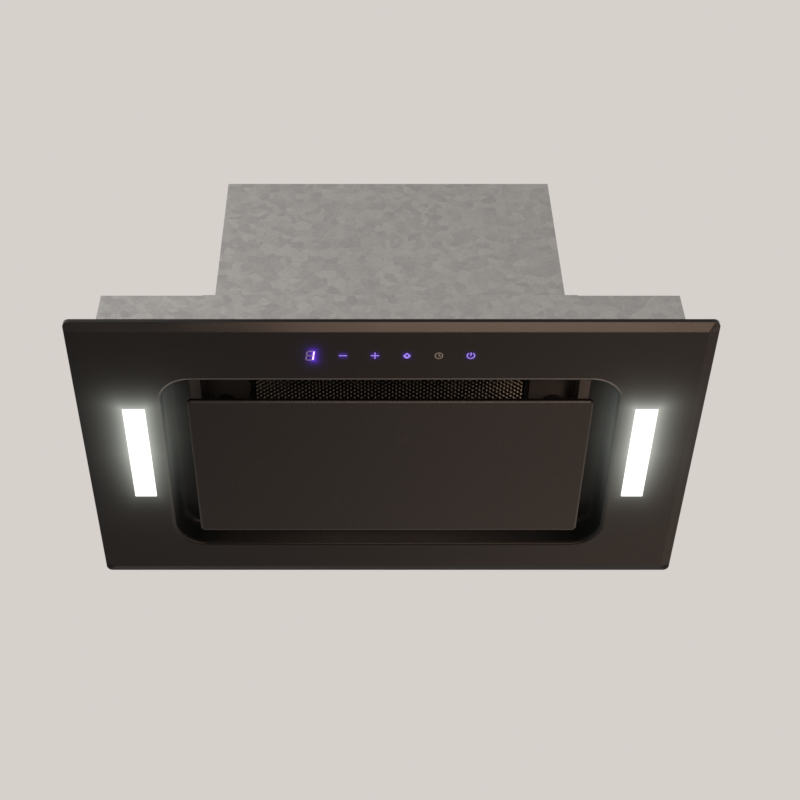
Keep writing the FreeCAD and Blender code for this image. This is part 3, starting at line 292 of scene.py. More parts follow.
# Expanded metal of the filter: size of a cell, reach of a bond from its centre, waist of a strand
FACE_CELL = (6.77 * MM, 4.94 * MM)
FACE_BOND = (1.0 * MM, 0.75 * MM)
FACE_LIFT = 0.78 * MM
LAYER_CELL = (8.0 * MM, 5.6 * MM)
LAYER_BOND = (1.3 * MM, 0.8 * MM)
LAYER_LIFT = 0.5 * MM
LAYER_COUNT = 3
LAYER_SLIDE = (1.7 * MM, 1.1 * MM)
WAIST = 0.4
FOIL_T = 0.35 * MM

# Coil spring behind the filter's latch
SPRING_WIRE_R = 0.28 * MM
SPRING_TURNS = 3.5
SPRING_STEPS = 24
WIRE_SIDES = 8


class NodeTree:
    """A tree of shader nodes, with short ways to add nodes to it."""

    def __init__(self, tree):
        self.tree = tree

    def add(self, kind, inputs=None, **settings):
        """A new node, whose inputs are linked to sockets or set to values."""
        node = self.tree.nodes.new(kind)
        for key, value in settings.items():
            setattr(node, key, value)
        for key, value in (inputs or {}).items():
            if isinstance(value, bpy.types.NodeSocket):
                self.tree.links.new(value, node.inputs[key])
            else:
                node.inputs[key].default_value = value
        return node

    def maths(self, operation, a, b=0.0):
        """The result of one operation on two numbers."""
        return self.add("ShaderNodeMath", {0: a, 1: b}, operation=operation).outputs[0]

    def fold(self, operation, values):
        """One value out of many, two at a time."""
        total = values[0]
        for value in values[1:]:
            total = self.maths(operation, total, value)
        return total

    def times(self, values, shares):
        """Each value times its share."""
        return [self.maths("MULTIPLY", value, share) for value, share in zip(values, shares)]


class Shader(NodeTree):
    """One material's tree, which ends in its surface."""

    def __init__(self, name, values):
        self.material = bpy.data.materials.new(name)
        self.material.use_nodes = True
        super().__init__(self.material.node_tree)
        self.surface = self.tree.nodes["Principled BSDF"]
        for socket, value in values.items():
            self.surface.inputs[socket].default_value = value
        self.place = self.add("ShaderNodeTexCoord").outputs["Object"]

    def drive(self, socket, output):
        """Lets an output set one of the surface's values."""
        self.tree.links.new(output, self.surface.inputs[socket])

    def stretched(self, scale):
        """The object's place, squeezed along some axes."""
        return self.add("ShaderNodeMapping", {"Vector": self.place, "Scale": scale}).outputs["Vector"]

    def noise(self, scale, detail=3.0, rough=0.55, at=None, distort=0.0):
        """A smooth noise, with so many blotches to the metre."""
        inputs = {
            "Vector": at or self.place,
            "Scale": scale,
            "Detail": detail,
            "Roughness": rough,
            "Distortion": distort,
        }
        return self.add("ShaderNodeTexNoise", inputs).outputs["Fac"]

    def grain(self, scale, at=None):
        """A fine noise, with so many grains to the metre."""
        return self.noise(scale, GRAIN_DETAIL, at=at)

    def cells(self, scale, feature="F1", output="Distance"):
        """Cells with straight edges, so many to the metre."""
        inputs = {"Vector": self.place, "Scale": scale}
        return self.add("ShaderNodeTexVoronoi", inputs, feature=feature).outputs[output]

    def vectors(self, operation, a, b=(0.0, 0.0, 0.0), **inputs):
        """The result of one operation on two vectors."""
        node = self.add("ShaderNodeVectorMath", {0: a, 1: b, **inputs}, operation=operation)
        return node.outputs["Vector"]

    def parts(self, vector):
        """A vector's three parts."""
        return self.add("ShaderNodeSeparateXYZ", {"Vector": vector}).outputs[:]

    def length(self, a, b):
        """The length of a vector that has two parts."""
        return self.maths("SQRT", self.maths("ADD", *self.times((a, b), (a, b))))

    def span(self, factor, low, high, start=0.0, end=1.0):
        """A factor between start and end, as a value between low and high."""
        inputs = {"Value": factor, "From Min": start, "From Max": end, "To Min": low, "To Max": high}
        return self.add("ShaderNodeMapRange", inputs).outputs["Result"]

    def colours(self, factor, stops):
        """A factor as a colour, from a ramp of stops."""
        node = self.add("ShaderNodeValToRGB", {"Fac": factor})
        ramp = node.color_ramp
        while len(ramp.elements) < len(stops):
            ramp.elements.new(0.5)
        for element, (position, colour) in zip(ramp.elements, stops):
            element.position = position
            element.color = (*colour, 1.0)
        return node.outputs["Color"]

    def tones(self, noise, pair):
        """A noise as a blend of two colours."""
        return self.colours(noise, list(zip(NOISE_SPAN, pair)))

    def roughen(self, noise, limits):
        """Lets a noise vary the roughness between two limits."""
        self.drive("Roughness", self.span(noise, *limits, *NOISE_SPAN))

    def bump(self, height, depth, strength=1.0):
        """Lets a height bump the surface."""
        inputs = {"Height": height, "Distance": depth, "Strength": strength}
        self.drive("Normal", self.add("ShaderNodeBump", inputs).outputs["Normal"])


def shades(colour, spread=SHADE_SPREAD):
    """A darker and a lighter shade of one colour."""
    return [c * (1 - spread) for c in colour], [c * (1 + spread) for c in colour]


def plain_finish(
    name, colour, rough, grain, depth, metal=0.0, spread=SHADE_SPREAD, stretch=(1, 1, 1), extra=None
):
    """A finish whose shade and roughness vary softly, with a fine grain in its surface."""
    shader = Shader(name, {"Metallic": metal, **(extra or {})})
    at = shader.stretched(stretch)
    soft = shader.noise(**BLOTCHES, at=at)
    fine = shader.grain(grain, at)
    shader.drive("Base Color", shader.tones(soft, shades(colour, spread)))
    shader.roughen(shader.fold("ADD", shader.times((soft, fine), BLOTCH_AND_GRAIN)), rough)
    shader.bump(fine, depth)
    return shader.material


def edge_distance(shader, x, y, centre, half):
    """How far a point of the face lies outside a rectangle."""
    gaps = []
    for value, middle, reach in ((x, centre[0], half[0]), (y, centre[1], half[1])):
        off = shader.maths("ABSOLUTE", shader.maths("SUBTRACT", value, middle))
        gaps.append(shader.maths("MAXIMUM", shader.maths("SUBTRACT", off, reach), 0.0))
    return shader.length(*gaps)


def fading(shader, distance, spill):
    """A painted glow that falls off with distance."""
    reach, strength = spill
    power = shader.maths("DIVIDE", distance, -reach)
    return shader.maths("MULTIPLY", shader.maths("EXPONENT", power), strength)


def painted_lamp_spill(shader, x, y):
    """Painted light round the two lamps, weaker towards their rear ends."""
    centre = [(a + b) / 2 for a, b in zip(LENS_LOW, LENS_HIGH)]
    half = [(b - a) / 2 - LENS_LEDGE for a, b in zip(LENS_LOW, LENS_HIGH)]
    gap = edge_distance(shader, shader.maths("ABSOLUTE", x), y, centre, half)
    ends = shader.span(y, 1.0, LAMP_REAR, centre[1], LENS_HIGH.y)
    both = shader.maths("ADD", fading(shader, gap, LAMP_NEAR), fading(shader, gap, LAMP_FAR))
    return shader.maths("ADD", shader.maths("MULTIPLY", both, ends), fading(shader, gap, LAMP_WIDE))


def painted_symbol_spill(shader, x, y):
    """Painted light round the lit digit and the lit keys."""
    bar = (DIGIT_X + DIGIT_HALF_W, KEY_Y)
    gap = edge_distance(shader, x, y, bar, (STROKE / 2, DIGIT_HALF_H))
    total = shader.maths("ADD", fading(shader, gap, DIGIT_NEAR), fading(shader, gap, DIGIT_FAR))
    for i, key_x in enumerate(KEY_PLACES):
        if i != TIMER_KEY:
            gap = edge_distance(shader, x, y, (key_x, KEY_Y), (KEY_SPILL_HALF, KEY_SPILL_HALF))
            total = shader.maths("ADD", total, fading(shader, gap, KEY_SPILL))
    return total


def painted_panel_glow(shader, x, y, recess):
    """All the light that spills onto the panel, painted as a glow, which is weaker in the recess, most of
    all at its front.
    """
    within = shader.span(y, *RECESS_SPILL, *RECESS_SPILL_Y)
    beyond = shader.maths("MULTIPLY", recess, shader.maths("SUBTRACT", within, 1.0))
    open_face = shader.maths("ADD", 1.0, beyond)
    glows = []
    for tint, spill in ((LAMP_TINT, painted_lamp_spill(shader, x, y)), (LIT_TINT, painted_symbol_spill(shader, x, y))):
        glows.append(shader.vectors("SCALE", tint, Scale=shader.maths("MULTIPLY", spill, open_face)))
    return shader.vectors("ADD", *glows)


def panel_gloss(shader, x, y, z, inside):
    """Gloss of the panel: duller on its cut rim and rear bevel, higher on the recess's rounded front lip."""
    half = [(b - a) / 2 - RIM_EDGE for a, b in zip(PANEL_LOW, PANEL_HIGH)]
    rim = edge_distance(shader, x, y, (0.0, 0.0), half[:2])
    face = shader.span(rim, PANEL_GLOSS, RIM_GLOSS, 0.0, RIM_EDGE)
    starts, ends = PANEL_LOW.y + BEVEL_W, PANEL_HIGH.y - BEVEL_W
    front_bevel = shader.span(y, FRONT_BEVEL_GLOSS, 1.0, starts - RIM_EDGE, starts + RIM_EDGE)
    rear_bevel = shader.span(y, 1.0, REAR_BEVEL_GLOSS, ends - RIM_EDGE, ends + RIM_EDGE)
    bevel = shader.maths("MULTIPLY", front_bevel, rear_bevel)
    starts, full, fades, ends = [FACE_Z + depth for depth in LIP_DEPTH]
    rise = shader.span(z, 0.0, LIP_GLOSS, starts, full)
    lip = shader.maths("MULTIPLY", rise, shader.span(z, 1.0, 0.0, fades, ends))
    front = shader.maths("MULTIPLY", inside, shader.span(y, 1.0, 0.0, *LIP_ENDS_Y))
    return shader.maths("ADD", shader.maths("MULTIPLY", face, bevel), shader.maths("MULTIPLY", lip, front))


def sunken(shader, area, z, depths):
    """The part of an area that lies past some depth in the recess."""
    return shader.maths("MULTIPLY", area, shader.span(z, 0.0, 1.0, *[FACE_Z + d for d in depths]))


def panel_finish():
    """Satin black with faint smears, a painted pool of light on the recess's rear wall, and the lamps' and
    the symbols' light spilling onto its face as a painted glow.
    """
    values = {"IOR": PANEL_IOR, "Specular IOR Level": PANEL_GLOSS, "Emission Strength": 1.0}
    shader = Shader("satin_black_panel", values)
    x, y, z = shader.parts(shader.place)
    outside = edge_distance(shader, x, y, (0.0, RECESS_Y), RECESS_HALF)
    inside = shader.span(outside, 1.0, 0.0, 0.0, RECESS_EDGE)
    recess = sunken(shader, inside, z, SPILL_DEPTH)
    rear = shader.maths("MULTIPLY", inside, shader.span(y, 0.0, 1.0, *REAR_WALL_Y))
    deep = sunken(shader, rear, z, REAR_WALL_DEPTH)
    # Painted light: a pale pool on the recess's rear wall, strongest at its middle
    middle = shader.span(shader.maths("ABSOLUTE", x), 1.0, 0.0, *REAR_WALL_X)
    wall = shader.vectors("SCALE", REAR_WALL_PAINTED_LIGHT, Scale=shader.maths("MULTIPLY", deep, middle))
    black = shader.tones(shader.noise(**PANEL_CLOUDS), PANEL_TONES)
    shader.drive("Base Color", shader.vectors("ADD", black, wall))
    shader.roughen(shader.noise(**PANEL_SMEARS, at=shader.stretched(PANEL_SMEAR_STRETCH)), PANEL_ROUGH)
    dull_recess = shader.span(recess, 1.0, RECESS_GLOSS)
    dull_wall = shader.span(sunken(shader, rear, z, REAR_LIP_DEPTH), 1.0, REAR_WALL_GLOSS)
    duller = shader.maths("MINIMUM", dull_recess, dull_wall)
    gloss = panel_gloss(shader, x, y, z, inside)
    shader.drive("Specular IOR Level", shader.maths("MULTIPLY", gloss, duller))
    shader.bump(shader.grain(PANEL_GRAIN), PANEL_GRAIN_DEPTH)
    # The emission is painted light: the lamps' and the symbols' spill as a glow on the face
    shader.drive("Emission Color", painted_panel_glow(shader, x, y, recess))
    return shader.material


def glass_finish():
    """Black glass: very smooth, with wiped-on smears that show only in its gloss, and a polished edge that
    is glossier and carries a painted highlight.
    """
    shader = Shader("black_glass", {"IOR": GLASS_IOR, "Specular IOR Level": GLASS_GLOSS})
    x, y = shader.parts(shader.place)[:2]
    half = [(b - a) / 2 - EDGE_REACH for a, b in zip(PLATE_LOW, PLATE_HIGH)]
    edge = shader.span(edge_distance(shader, x, y, (0.0, RECESS_Y), half[:2]), 0.0, 1.0, *EDGE_BLEND)
    black = shader.tones(shader.noise(**GLASS_CLOUDS), GLASS_TONES)
    # Painted highlight: the base colour is lighter along the polished edge
    lighter = shader.span(edge, 1.0, EDGE_PAINTED_HIGHLIGHT)
    shader.drive("Base Color", shader.vectors("SCALE", black, Scale=lighter))
    polish = shader.span(y, *EDGE_GLOSS, PLATE_LOW.y, PLATE_HIGH.y)
    shader.drive("Specular IOR Level", shader.span(edge, GLASS_GLOSS, polish))
    shader.roughen(shader.noise(**GLASS_SMEARS, at=shader.stretched(GLASS_SMEAR_STRETCH)), GLASS_ROUGH)
    shader.bump(shader.grain(GLASS_GRAIN), GLASS_GRAIN_DEPTH)
    return shader.material


def pan_finish():
    """Powder coat, darker on the ledge than inside the pan."""
    shader = Shader("powder_coat", {"Specular IOR Level": PAN_GLOSS})
    soft = shader.noise(**BLOTCHES)
    z = shader.parts(shader.place)[2]
    inside = shader.span(z, *PAN_SHADE, *[PAN_LOW.z + height for height in PAN_LEDGE_Z])
    colour = shader.tones(soft, shades(PAN_COLOUR))
    shader.drive("Base Color", shader.vectors("SCALE", colour, Scale=inside))
    shader.roughen(soft, PAN_ROUGH)
    shader.bump(shader.grain(PAN_GRAIN), PAN_GRAIN_DEPTH)
    return shader.material


def lens_finish():
    """Opal diffuser lit by a row of light-emitting diodes behind it."""
    shader = Shader("opal_lens", {"Roughness": LENS_ROUGH, "Emission Strength": LENS_STRENGTH})
    milk = shader.grain(LENS_GRAIN)
    shader.drive("Base Color", shader.tones(milk, LENS_TONES))
    y = shader.parts(shader.place)[1]
    pitch = (LENS_HIGH.y - LENS_LOW.y) / LENS_SPOTS
    turns = shader.maths("DIVIDE", shader.maths("SUBTRACT", y, LENS_LOW.y), pitch / (2 * math.pi))
    spots = shader.span(shader.maths("COSINE", turns), 1.0, 0.0, -1.0, 1.0)
    shader.drive("Emission Color", shader.colours(spots, LENS_GLOW))
    shader.bump(milk, LENS_GRAIN_DEPTH)
    return shader.material


def galvanised_finish():
    """Zinc-coated sheet: crystals of slightly different grey and gloss."""
    shader = Shader("galvanised_sheet", {"Metallic": SHEET_METAL})
    large, small = [shader.parts(shader.cells(scale, output="Color")) for scale in SHEET_CRYSTALS]
    film = shader.noise(**SHEET_FILM)
    mixed = shader.fold("ADD", shader.times((large[0], small[1], film), SHEET_SHARES))
    shader.drive("Base Color", shader.colours(mixed, SHEET_TONES))
    shader.drive("Roughness", shader.span(large[2], *SHEET_ROUGH))
    shader.bump(shader.noise(SHEET_RIPPLE), SHEET_RIPPLE_DEPTH, SHEET_RIPPLE_STRENGTH)
    return shader.material


def lamination_finish():
    """A stack of thin steel sheets, seen as fine lines across the motor's axis."""
    shader = Shader("laminations", {"Metallic": LAMINATION_METAL})
    x = shader.parts(shader.place)[0]
    line = shader.maths("FRACT", shader.maths("DIVIDE", x, LAMINATION_T))
    shader.drive("Base Color", shader.colours(line, LAMINATION_TONES))
    shader.drive("Roughness", shader.span(shader.noise(LAMINATION_BLOTCHES), *LAMINATION_ROUGH))
    shader.bump(line, LAMINATION_DEPTH)
    return shader.material


def board_finish():
    """Green lacquered circuit board with paler copper tracks."""
    shader = Shader("circuit_board", {"Roughness": BOARD_ROUGH})
    tracks = shader.cells(TRACK_CELLS, "DISTANCE_TO_EDGE")
    shader.drive("Base Color", shader.colours(tracks, TRACK_TONES))
    shader.bump(tracks, TRACK_DEPTH)
    return shader.material


def lit_finish(name, colour, strength=1.0):
    """A lit symbol whose light is a little uneven."""
    values = {"Roughness": LIT_ROUGH, "Emission Strength": strength, "Base Color": (*colour, 1.0)}
    shader = Shader(name, values)
    shader.drive("Emission Color", shader.tones(shader.grain(LIT_GRAIN), shades(colour, LIT_SPREAD)))
    return shader.material


# The finish of each slot: those that are plain differ in colour, roughness, grain to the metre and its depth
FINISHES = {
    "fascia_black": panel_finish(),
    "plate_glass": glass_finish(),
    "lens_opal": lens_finish(),
    "galvanised_steel": galvanised_finish(),
    "lamination_steel": lamination_finish(),
    "circuit_board": board_finish(),
    "pan_black": pan_finish(),
    "zinc_plated_steel": plain_finish(
        "zinc_plate", colour=(0.56, 0.56, 0.545), rough=(0.36, 0.43), grain=800.0, depth=0.006 * MM,
        metal=1.0, spread=0.05,
    ),
    # The filter face's warm tint is painted amber light
    "filter_aluminium": plain_finish(
        "aluminium_warmed_by_painted_light", colour=(0.25, 0.21, 0.17), rough=(0.26, 0.36), grain=1500.0, depth=0.004 * MM,
        metal=1.0,
    ),
    "frame_dark": plain_finish(
        "dark_anodised", colour=(0.06, 0.059, 0.058), rough=(0.34, 0.48), grain=900.0, depth=0.008 * MM,
        metal=0.7, stretch=(0.05, 1, 1),
    ),
    "magnet_nickel": plain_finish(
        "nickel", colour=(0.66, 0.64, 0.60), rough=(0.14, 0.26), grain=1200.0, depth=0.004 * MM, metal=1.0,
    ),
    "black_plastic": plain_finish(
        "black_plastic", colour=(0.022, 0.022, 0.022), rough=(0.42, 0.56), grain=1600.0, depth=0.03 * MM,
    ),
    "grey_plastic": plain_finish(
        "grey_plastic", colour=(0.16, 0.165, 0.17), rough=(0.40, 0.55), grain=1400.0, depth=0.02 * MM,
    ),
    "white_plastic": plain_finish(
        "white_plastic", colour=(0.70, 0.70, 0.68), rough=(0.38, 0.52), grain=1400.0, depth=0.02 * MM,
        spread=0.04,
    ),
    "clear_plastic": plain_finish(
        "clear_plastic", colour=(0.75, 0.77, 0.80), rough=(0.08, 0.18), grain=600.0, depth=0.005 * MM,
        spread=0.05, extra={"Transmission Weight": 0.8},
    ),
    "motor_enamel": plain_finish(
        "motor_enamel", colour=(0.03, 0.03, 0.032), rough=(0.25, 0.38), grain=500.0, depth=0.03 * MM,
    ),
    "bearing_steel": plain_finish(
        "ground_steel", colour=(0.58, 0.58, 0.58), rough=(0.12, 0.26), grain=2500.0, depth=0.003 * MM,
        metal=1.0, stretch=(0.1, 1, 1),
    ),
    "spring_steel": plain_finish(
        "spring_steel", colour=(0.38, 0.38, 0.39), rough=(0.28, 0.42), grain=1500.0, depth=0.005 * MM,
        metal=1.0,
    ),
    "black_rubber": plain_finish(
        "black_rubber", colour=(0.02, 0.02, 0.02), rough=(0.62, 0.8), grain=900.0, depth=0.04 * MM,
    ),
    "grey_foam": plain_finish(
        "grey_foam", colour=(0.09, 0.09, 0.09), rough=(0.75, 0.95), grain=1300.0, depth=0.25 * MM,
    ),
}


def dress_nodes():
    """Gives each CAD node the finish of its slot, and softens the edges of folded sheets and mouldings."""
    for row in frame["record"]["subparts"]:
        node = CAD_NODES[row["node"]]
        node.data.materials.clear()
        node.data.materials.append(FINISHES[row["material_slot"]])
        if row["node"] in SOFT_EDGED:
            soft = node.modifiers.new("soft_edges", "BEVEL")
            soft.width = SOFT_EDGE
            soft.segments = SOFT_EDGE_STEPS
            soft.limit_method = "ANGLE"
            soft.angle_limit = math.radians(SOFT_EDGE_ANGLE)
            soft.harden_normals = True


def new_mesh(name, maker, material):
    """A mesh from a bmesh, which is used up."""
    mesh = bpy.data.meshes.new(name)
    maker.to_mesh(mesh)
    maker.free()
    mesh.materials.append(material)
    return mesh


def new_object(name, data):
    """A new object in the scene."""
    shown = bpy.data.objects.new(name, data)
    bpy.context.scene.collection.objects.link(shown)
    return shown


def new_piece(name, maker, material, body="hood"):
    """A new piece of the part from a bmesh, riding on a body."""
    piece = new_object(name, new_mesh(name, maker, material))
    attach(piece, body)
    return piece


def toward(angle):
    """The direction that an angle points in."""
    return Vector((math.cos(angle), math.sin(angle)))


def round_end(tip, turn, width):
    """The half circle at the end of a stroke that points along turn."""
    angles = [turn - math.pi / 2 + math.pi * i / CAP_STEPS for i in range(CAP_STEPS + 1)]
    return [tip + toward(a) * width / 2 for a in angles]


def stroke_outline(start, end, width):
    """A straight stroke with round ends, as the points of its outline."""
    start, end = Vector(start), Vector(end)
    turn = math.atan2(end.y - start.y, end.x - start.x)
    return round_end(end, turn, width) + round_end(start, turn + math.pi, width)


def spokes_outline(centre, arms, width):
    """Strokes that meet at a centre, as one outline: each arm has an angle in degrees and a reach."""
    centre = Vector(centre)
    points = []
    for (angle, reach), (following, _) in zip(arms, arms[1:] + arms[:1]):
        turn = math.radians(angle)
        points += round_end(centre + toward(turn) * reach, turn, width)
        half = math.radians((following - angle) % FULL_TURN) / 2
        points.append(centre + toward(turn + half) * width / 2 / math.sin(half))
    return points


def arc_edges(radius, width, start=0, end=FULL_TURN):
    """A round stroke between two angles in degrees, as its two edges."""
    angles = [math.radians(start + (end - start) * i / ARC_STEPS) for i in range(ARC_STEPS + 1)]
    turns = [toward(a) for a in angles]
    return [t * (radius + width / 2) for t in turns], [t * (radius - width / 2) for t in turns]


def lamp_edges():
    """A lamp's outline, pointed above and fuller below, and the round hole in it."""
    hole = arc_edges(LAMP_HOLE_R, 0.0)[0]
    outer = []
    for point in hole:
        turn = point.normalized()
        bulge = 1.0 if turn.y > 0 else LAMP_BULGE
        sums = sum((abs(t) / reach) ** bulge for t, reach in zip(turn, LAMP_REACH))
        outer.append(turn * sums ** (-1 / bulge))
    return outer, hole


class Symbol:
    """One symbol on the panel's face, drawn round its own centre and read from below."""

    def __init__(self, centre_x):
        self.maker = bmesh.new()
        self.centre_x = centre_x

    def corner(self, point):
        """A new corner, just below the face."""
        return self.maker.verts.new((self.centre_x + point.x, KEY_Y - point.y, FACE_Z - INLAY_T))

    def outline(self, points):
        """A flat shape inside an outline."""
        self.maker.faces.new([self.corner(p) for p in points])

    def stroke(self, start, end, width=STROKE):
        """A straight stroke with round ends."""
        self.outline(stroke_outline(start, end, width))

    def band(self, outer, inner):
        """A strip between two edges."""
        rows = [(self.corner(a), self.corner(b)) for a, b in zip(outer, inner)]
        for (a, b), (c, d) in zip(rows, rows[1:]):
            self.maker.faces.new((a, b, d, c))

    def place(self, name, material):
        """Turns the flat outlines into thin windows that reach the panel's face."""
        bmesh.ops.remove_doubles(self.maker, verts=list(self.maker.verts), dist=WELD)
        bmesh.ops.recalc_face_normals(self.maker, faces=list(self.maker.faces))
        grown = bmesh.ops.extrude_face_region(self.maker, geom=list(self.maker.faces))
        moved = [v for v in grown["geom"] if isinstance(v, bmesh.types.BMVert)]
        bmesh.ops.translate(self.maker, verts=moved, vec=(0, 0, INLAY_T))
        bmesh.ops.recalc_face_normals(self.maker, faces=list(self.maker.faces))
        return new_piece(name, self.maker, material)


def make_controls():
    """The five touch keys: less, more, lamp, timer and power."""
    lit = lit_finish("lit_symbol", KEY_COLOUR, KEY_STRENGTH)
    grey = plain_finish(
        "symbol_grey", colour=(0.33, 0.285, 0.255), rough=(0.4, 0.5), grain=900.0, depth=0.002 * MM,
    )
    less, more, lamp, timer, power = [Symbol(x) for x in KEY_PLACES]
    less.stroke((-SYMBOL_R, 0), (SYMBOL_R, 0))
    less.place("key_minus", lit)
    more.outline(spokes_outline((0, 0), PLUS_ARMS, STROKE))
    more.place("key_plus", lit)
    lamp.band(*lamp_edges())
    lamp.place("key_lamp", lit)
    timer.band(*arc_edges(SYMBOL_R, TIMER_STROKE))
    timer.outline(spokes_outline(TIMER_CENTRE, TIMER_HANDS, TIMER_STROKE))
    timer.place("key_timer", grey)
    power.band(*arc_edges(SYMBOL_R, STROKE, *POWER_ARC))
    power.stroke(*POWER_BAR)
    power.place("key_power", lit)


def make_digit():
    """A slanted seven-segment digit that shows 1."""
    corner = {}
    for row, y in (("top", DIGIT_HALF_H), ("mid", 0.0), ("low", -DIGIT_HALF_H)):
        for column, x in (("left", -DIGIT_HALF_W), ("right", DIGIT_HALF_W)):
            corner[row, column] = Vector((x + DIGIT_SLANT * y, y))
    sides = [(("top", c), ("mid", c)) for c in ("left", "right")]
    sides += [(("mid", c), ("low", c)) for c in ("left", "right")]
    across = [((row, "left"), (row, "right")) for row in ("top", "mid", "low")]
    lit, unlit = Symbol(DIGIT_X), Symbol(DIGIT_X)
    for a, b in sides + across:
        shines = a[1] == b[1] == "right"
        target, width = (lit, DIGIT_STROKE) if shines else (unlit, UNLIT_STROKE)
        starts, ends = [DIGIT_GAP if shines else UNLIT_GAP[end[1]] for end in (a, b)]
        along = (corner[b] - corner[a]).normalized()
        target.stroke(corner[a] + along * starts, corner[b] - along * ends, width)
    lit.place("digit_lit", lit_finish("lit_digit", DIGIT_COLOUR))
    unlit.place("digit_unlit", lit_finish("unlit_digit", UNLIT_COLOUR))


def strand(maker, start, end):
    """One strand from a bond's edge to the next bond's edge, thinner at its middle."""
    sides = [(a.co + b.co) / 2 for a, b in zip(start, end)]
    middle = (sides[0] + sides[1]) / 2
    waist = [maker.verts.new(middle.lerp(side, WAIST)) for side in sides]
    maker.faces.new((start[0], start[1], waist[1], waist[0]))
    maker.faces.new((waist[0], waist[1], end[1], end[0]))


def expanded_sheet(maker, low, high, z, cell, bond, lift, slide=(0.0, 0.0)):
    """Expanded metal: rows of tilted bonds, and the strands between them."""
    step = (cell[0] / 2, cell[1] / 2)
    counts = [int((high[k] - low[k] - 2 * bond[k] - slide[k]) / step[k]) for k in (0, 1)]
    first = [low[k] + slide[k] + (high[k] - low[k] - slide[k] - counts[k] * step[k]) / 2 for k in (0, 1)]
    reach_x, reach_y = bond
    corners = ((reach_x, 0, 0), (0, reach_y, -lift), (-reach_x, 0, 0), (0, -reach_y, lift))
    bonds = {}
    for i in range(counts[0] + 1):
        for j in range(i % 2, counts[1] + 1, 2):
            centre = Vector((first[0] + i * step[0], first[1] + j * step[1], z))
            bonds[i, j] = [maker.verts.new(centre + Vector(c)) for c in corners]
            maker.faces.new(bonds[i, j])
    for (i, j), (east, north, _, south) in bonds.items():
        if (i + 1, j + 1) in bonds:
            _, _, west_above, south_above = bonds[i + 1, j + 1]
            strand(maker, (north, east), (west_above, south_above))
        if (i + 1, j - 1) in bonds:
            _, north_below, west_below, _ = bonds[i + 1, j - 1]
            strand(maker, (east, south), (north_below, west_below))


def thicken(piece):
    """Gives a sheet the foil's thickness."""
    solid = piece.modifiers.new("thickness", "SOLIDIFY")
    solid.thickness = FOIL_T
    solid.offset = 0.0


def make_filter():
    """The filter's face mesh, and the layers behind it."""
    face = bmesh.new()
    middle = (MESH_LOW.z + MESH_HIGH.z) / 2
    expanded_sheet(face, MESH_LOW, MESH_HIGH, middle, FACE_CELL, FACE_BOND, FACE_LIFT)
    sheet = new_piece("filter_face_mesh", face, FINISHES["filter_aluminium"])
    thicken(sheet)
    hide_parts("filter_mesh")
    core = bmesh.new()
    for k in range(LAYER_COUNT):
        z = CORE_LOW.z + (k + 0.5) * (CORE_HIGH.z - CORE_LOW.z) / LAYER_COUNT
        slide = ((k % 2) * LAYER_SLIDE[0], k * LAYER_SLIDE[1])
        expanded_sheet(core, CORE_LOW, CORE_HIGH, z, LAYER_CELL, LAYER_BOND, LAYER_LIFT, slide)
    # The layers behind take an aluminium darker than the face mesh
    dull = plain_finish(
        "darker_layer_aluminium", colour=(0.13, 0.115, 0.10), rough=(0.45, 0.6), grain=900.0, depth=0.02 * MM,
        metal=0.8,
    )
    pack = new_piece("filter_layers", core, dull)
    thicken(pack)
    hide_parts("filter_core")


def coil_rings(maker, start, length, radius):
    """The rings of corners along a coil's wire, which winds along Y."""
    count = int(SPRING_TURNS * SPRING_STEPS)
    along = Vector((0, 1, 0))
    turns = [2 * math.pi * k / WIRE_SIDES for k in range(WIRE_SIDES)]
    rings = []
    for i in range(count + 1):
        angle = 2 * math.pi * i / SPRING_STEPS
        outward = Vector((math.cos(angle), 0, math.sin(angle)))
        middle = start + outward * radius
        middle += along * (SPRING_WIRE_R + (length - 2 * SPRING_WIRE_R) * i / count)
        ring = [middle + (outward * math.cos(t) + along * math.sin(t)) * SPRING_WIRE_R for t in turns]
        rings.append([maker.verts.new(p) for p in ring])
    return rings


def make_spring():
    """The latch's coil spring, which the latch squeezes as it slides back."""
    centre = (SPRING_LOW + SPRING_HIGH) / 2
    length = SPRING_HIGH.y - SPRING_LOW.y
    radius = (SPRING_HIGH.x - SPRING_LOW.x) / 2 - SPRING_WIRE_R
    maker = bmesh.new()
    rings = coil_rings(maker, Vector((centre.x, SPRING_LOW.y, centre.z)), length, radius)
    for a, b in zip(rings, rings[1:]):
        for k in range(WIRE_SIDES):
            j = (k + 1) % WIRE_SIDES
            maker.faces.new((a[k], a[j], b[j], b[k])).smooth = True
    maker.faces.new(rings[0])
    maker.faces.new(rings[-1])
    bmesh.ops.recalc_face_normals(maker, faces=list(maker.faces))
    coil = new_piece("latch_coil", maker, FINISHES["spring_steel"])
    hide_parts("latch_spring")
    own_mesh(coil)


def seen_rays(nodes, shares):
    """How much of the backdrop's colour a ray sees, by the kind of ray."""
    path = nodes.add("ShaderNodeLightPath")
    kinds = [path.outputs[name] for name in shares]
    return nodes.fold("MAXIMUM", nodes.times(kinds, shares.values()))


def mix_seen(nodes, rays, lit, seen, output):
    """Shows one shader to those rays, and the other to the rest."""
    mix = nodes.add("ShaderNodeMixShader", {"Fac": rays, 1: lit.outputs[0], 2: seen.outputs[0]})
    nodes.tree.links.new(mix.outputs[0], output.inputs["Surface"])


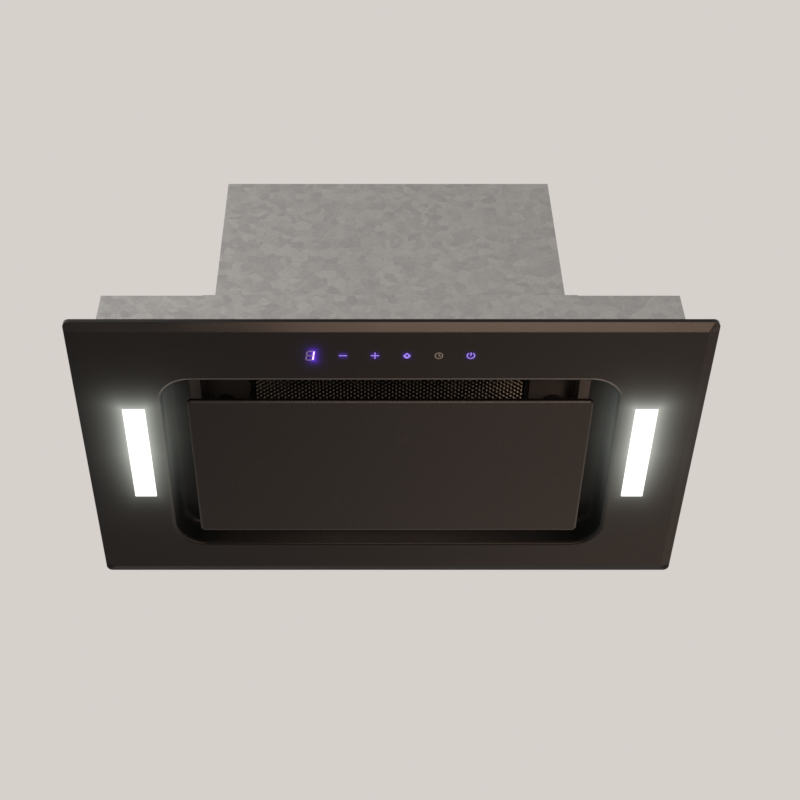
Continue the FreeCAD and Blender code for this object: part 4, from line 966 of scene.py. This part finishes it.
def floor_finish():
    """A pale floor that fades into the backdrop far from the object."""
    shader = Shader("pale_floor", {"Roughness": FLOOR_ROUGH})
    shader.drive("Base Color", shader.tones(shader.noise(**BLOTCHES), shades(FLOOR_COLOUR, FLOOR_SPREAD)))
    near = seen_rays(shader, FLOOR_SEEN_PALE)
    whole = seen_rays(shader, BACKDROP_SEEN)
    x, y = shader.parts(shader.place)[:2]
    far = shader.span(shader.length(x, y), 0.0, 1.0, *FLOOR_FADE)
    rays = shader.maths("ADD", near, shader.maths("MULTIPLY", shader.maths("SUBTRACT", whole, near), far))
    pale = shader.add("ShaderNodeEmission", {"Color": (*BACKDROP_COLOUR, 1.0)})
    mix_seen(shader, rays, shader.surface, pale, shader.tree.nodes["Material Output"])
    return shader.material


def make_floor():
    """A wide pale floor."""
    maker = bmesh.new()
    bmesh.ops.create_grid(maker, x_segments=FLOOR_CELLS, y_segments=FLOOR_CELLS, size=FLOOR_SIZE / 2)
    bmesh.ops.translate(maker, verts=list(maker.verts), vec=(0, 0, FLOOR_Z))
    floor = new_object("floor", new_mesh("floor", maker, floor_finish()))


def make_world():
    """Soft light from all round, and the backdrop's colour for the rays that see it."""
    world = bpy.data.worlds.new("backdrop")
    bpy.context.scene.world = world
    world.use_nodes = True
    nodes = NodeTree(world.node_tree)
    soft = nodes.tree.nodes["Background"]
    soft.inputs["Color"].default_value = (*AMBIENT_COLOUR, 1.0)
    soft.inputs["Strength"].default_value = AMBIENT_STRENGTH
    seen = nodes.add("ShaderNodeBackground", {"Color": (*BACKDROP_COLOUR, 1.0)})
    mix_seen(nodes, seen_rays(nodes, BACKDROP_SEEN), soft, seen, nodes.tree.nodes["World Output"])


def make_lamp(name, place, aim, size, spread, power, colour):
    """One soft lamp that the camera doesn't see."""
    data = bpy.data.lights.new(name, "AREA")
    data.shape = "RECTANGLE"
    data.size, data.size_y = size
    data.spread = math.radians(spread)
    data.energy = power
    data.color = colour
    lamp = new_object(name, data)
    lamp.location = place
    lamp.rotation_euler = (Vector(aim) - Vector(place)).to_track_quat("-Z", "Y").to_euler()
    lamp.visible_camera = False
    lamp.visible_diffuse = name not in REFLECTED_ONLY


def make_camera():
    """The camera, which looks up at the panel as in the photograph."""
    data = bpy.data.cameras.new("photo_camera")
    data.lens = CAMERA_LENS
    data.sensor_width = CAMERA_FILM
    data.shift_x, data.shift_y = CAMERA_SHIFT
    camera = new_object("photo_camera", data)
    camera.location = CAMERA_PLACE
    camera.rotation_euler = (math.radians(CAMERA_LEVEL + CAMERA_PITCH_UP), 0, 0)
    bpy.context.scene.camera = camera


dress_nodes()
make_controls()
make_digit()
make_filter()
make_spring()
make_floor()
make_world()
for lamp in LAMPS:
    make_lamp(*lamp)
make_camera()
bpy.context.scene.view_settings.view_transform = "Standard"
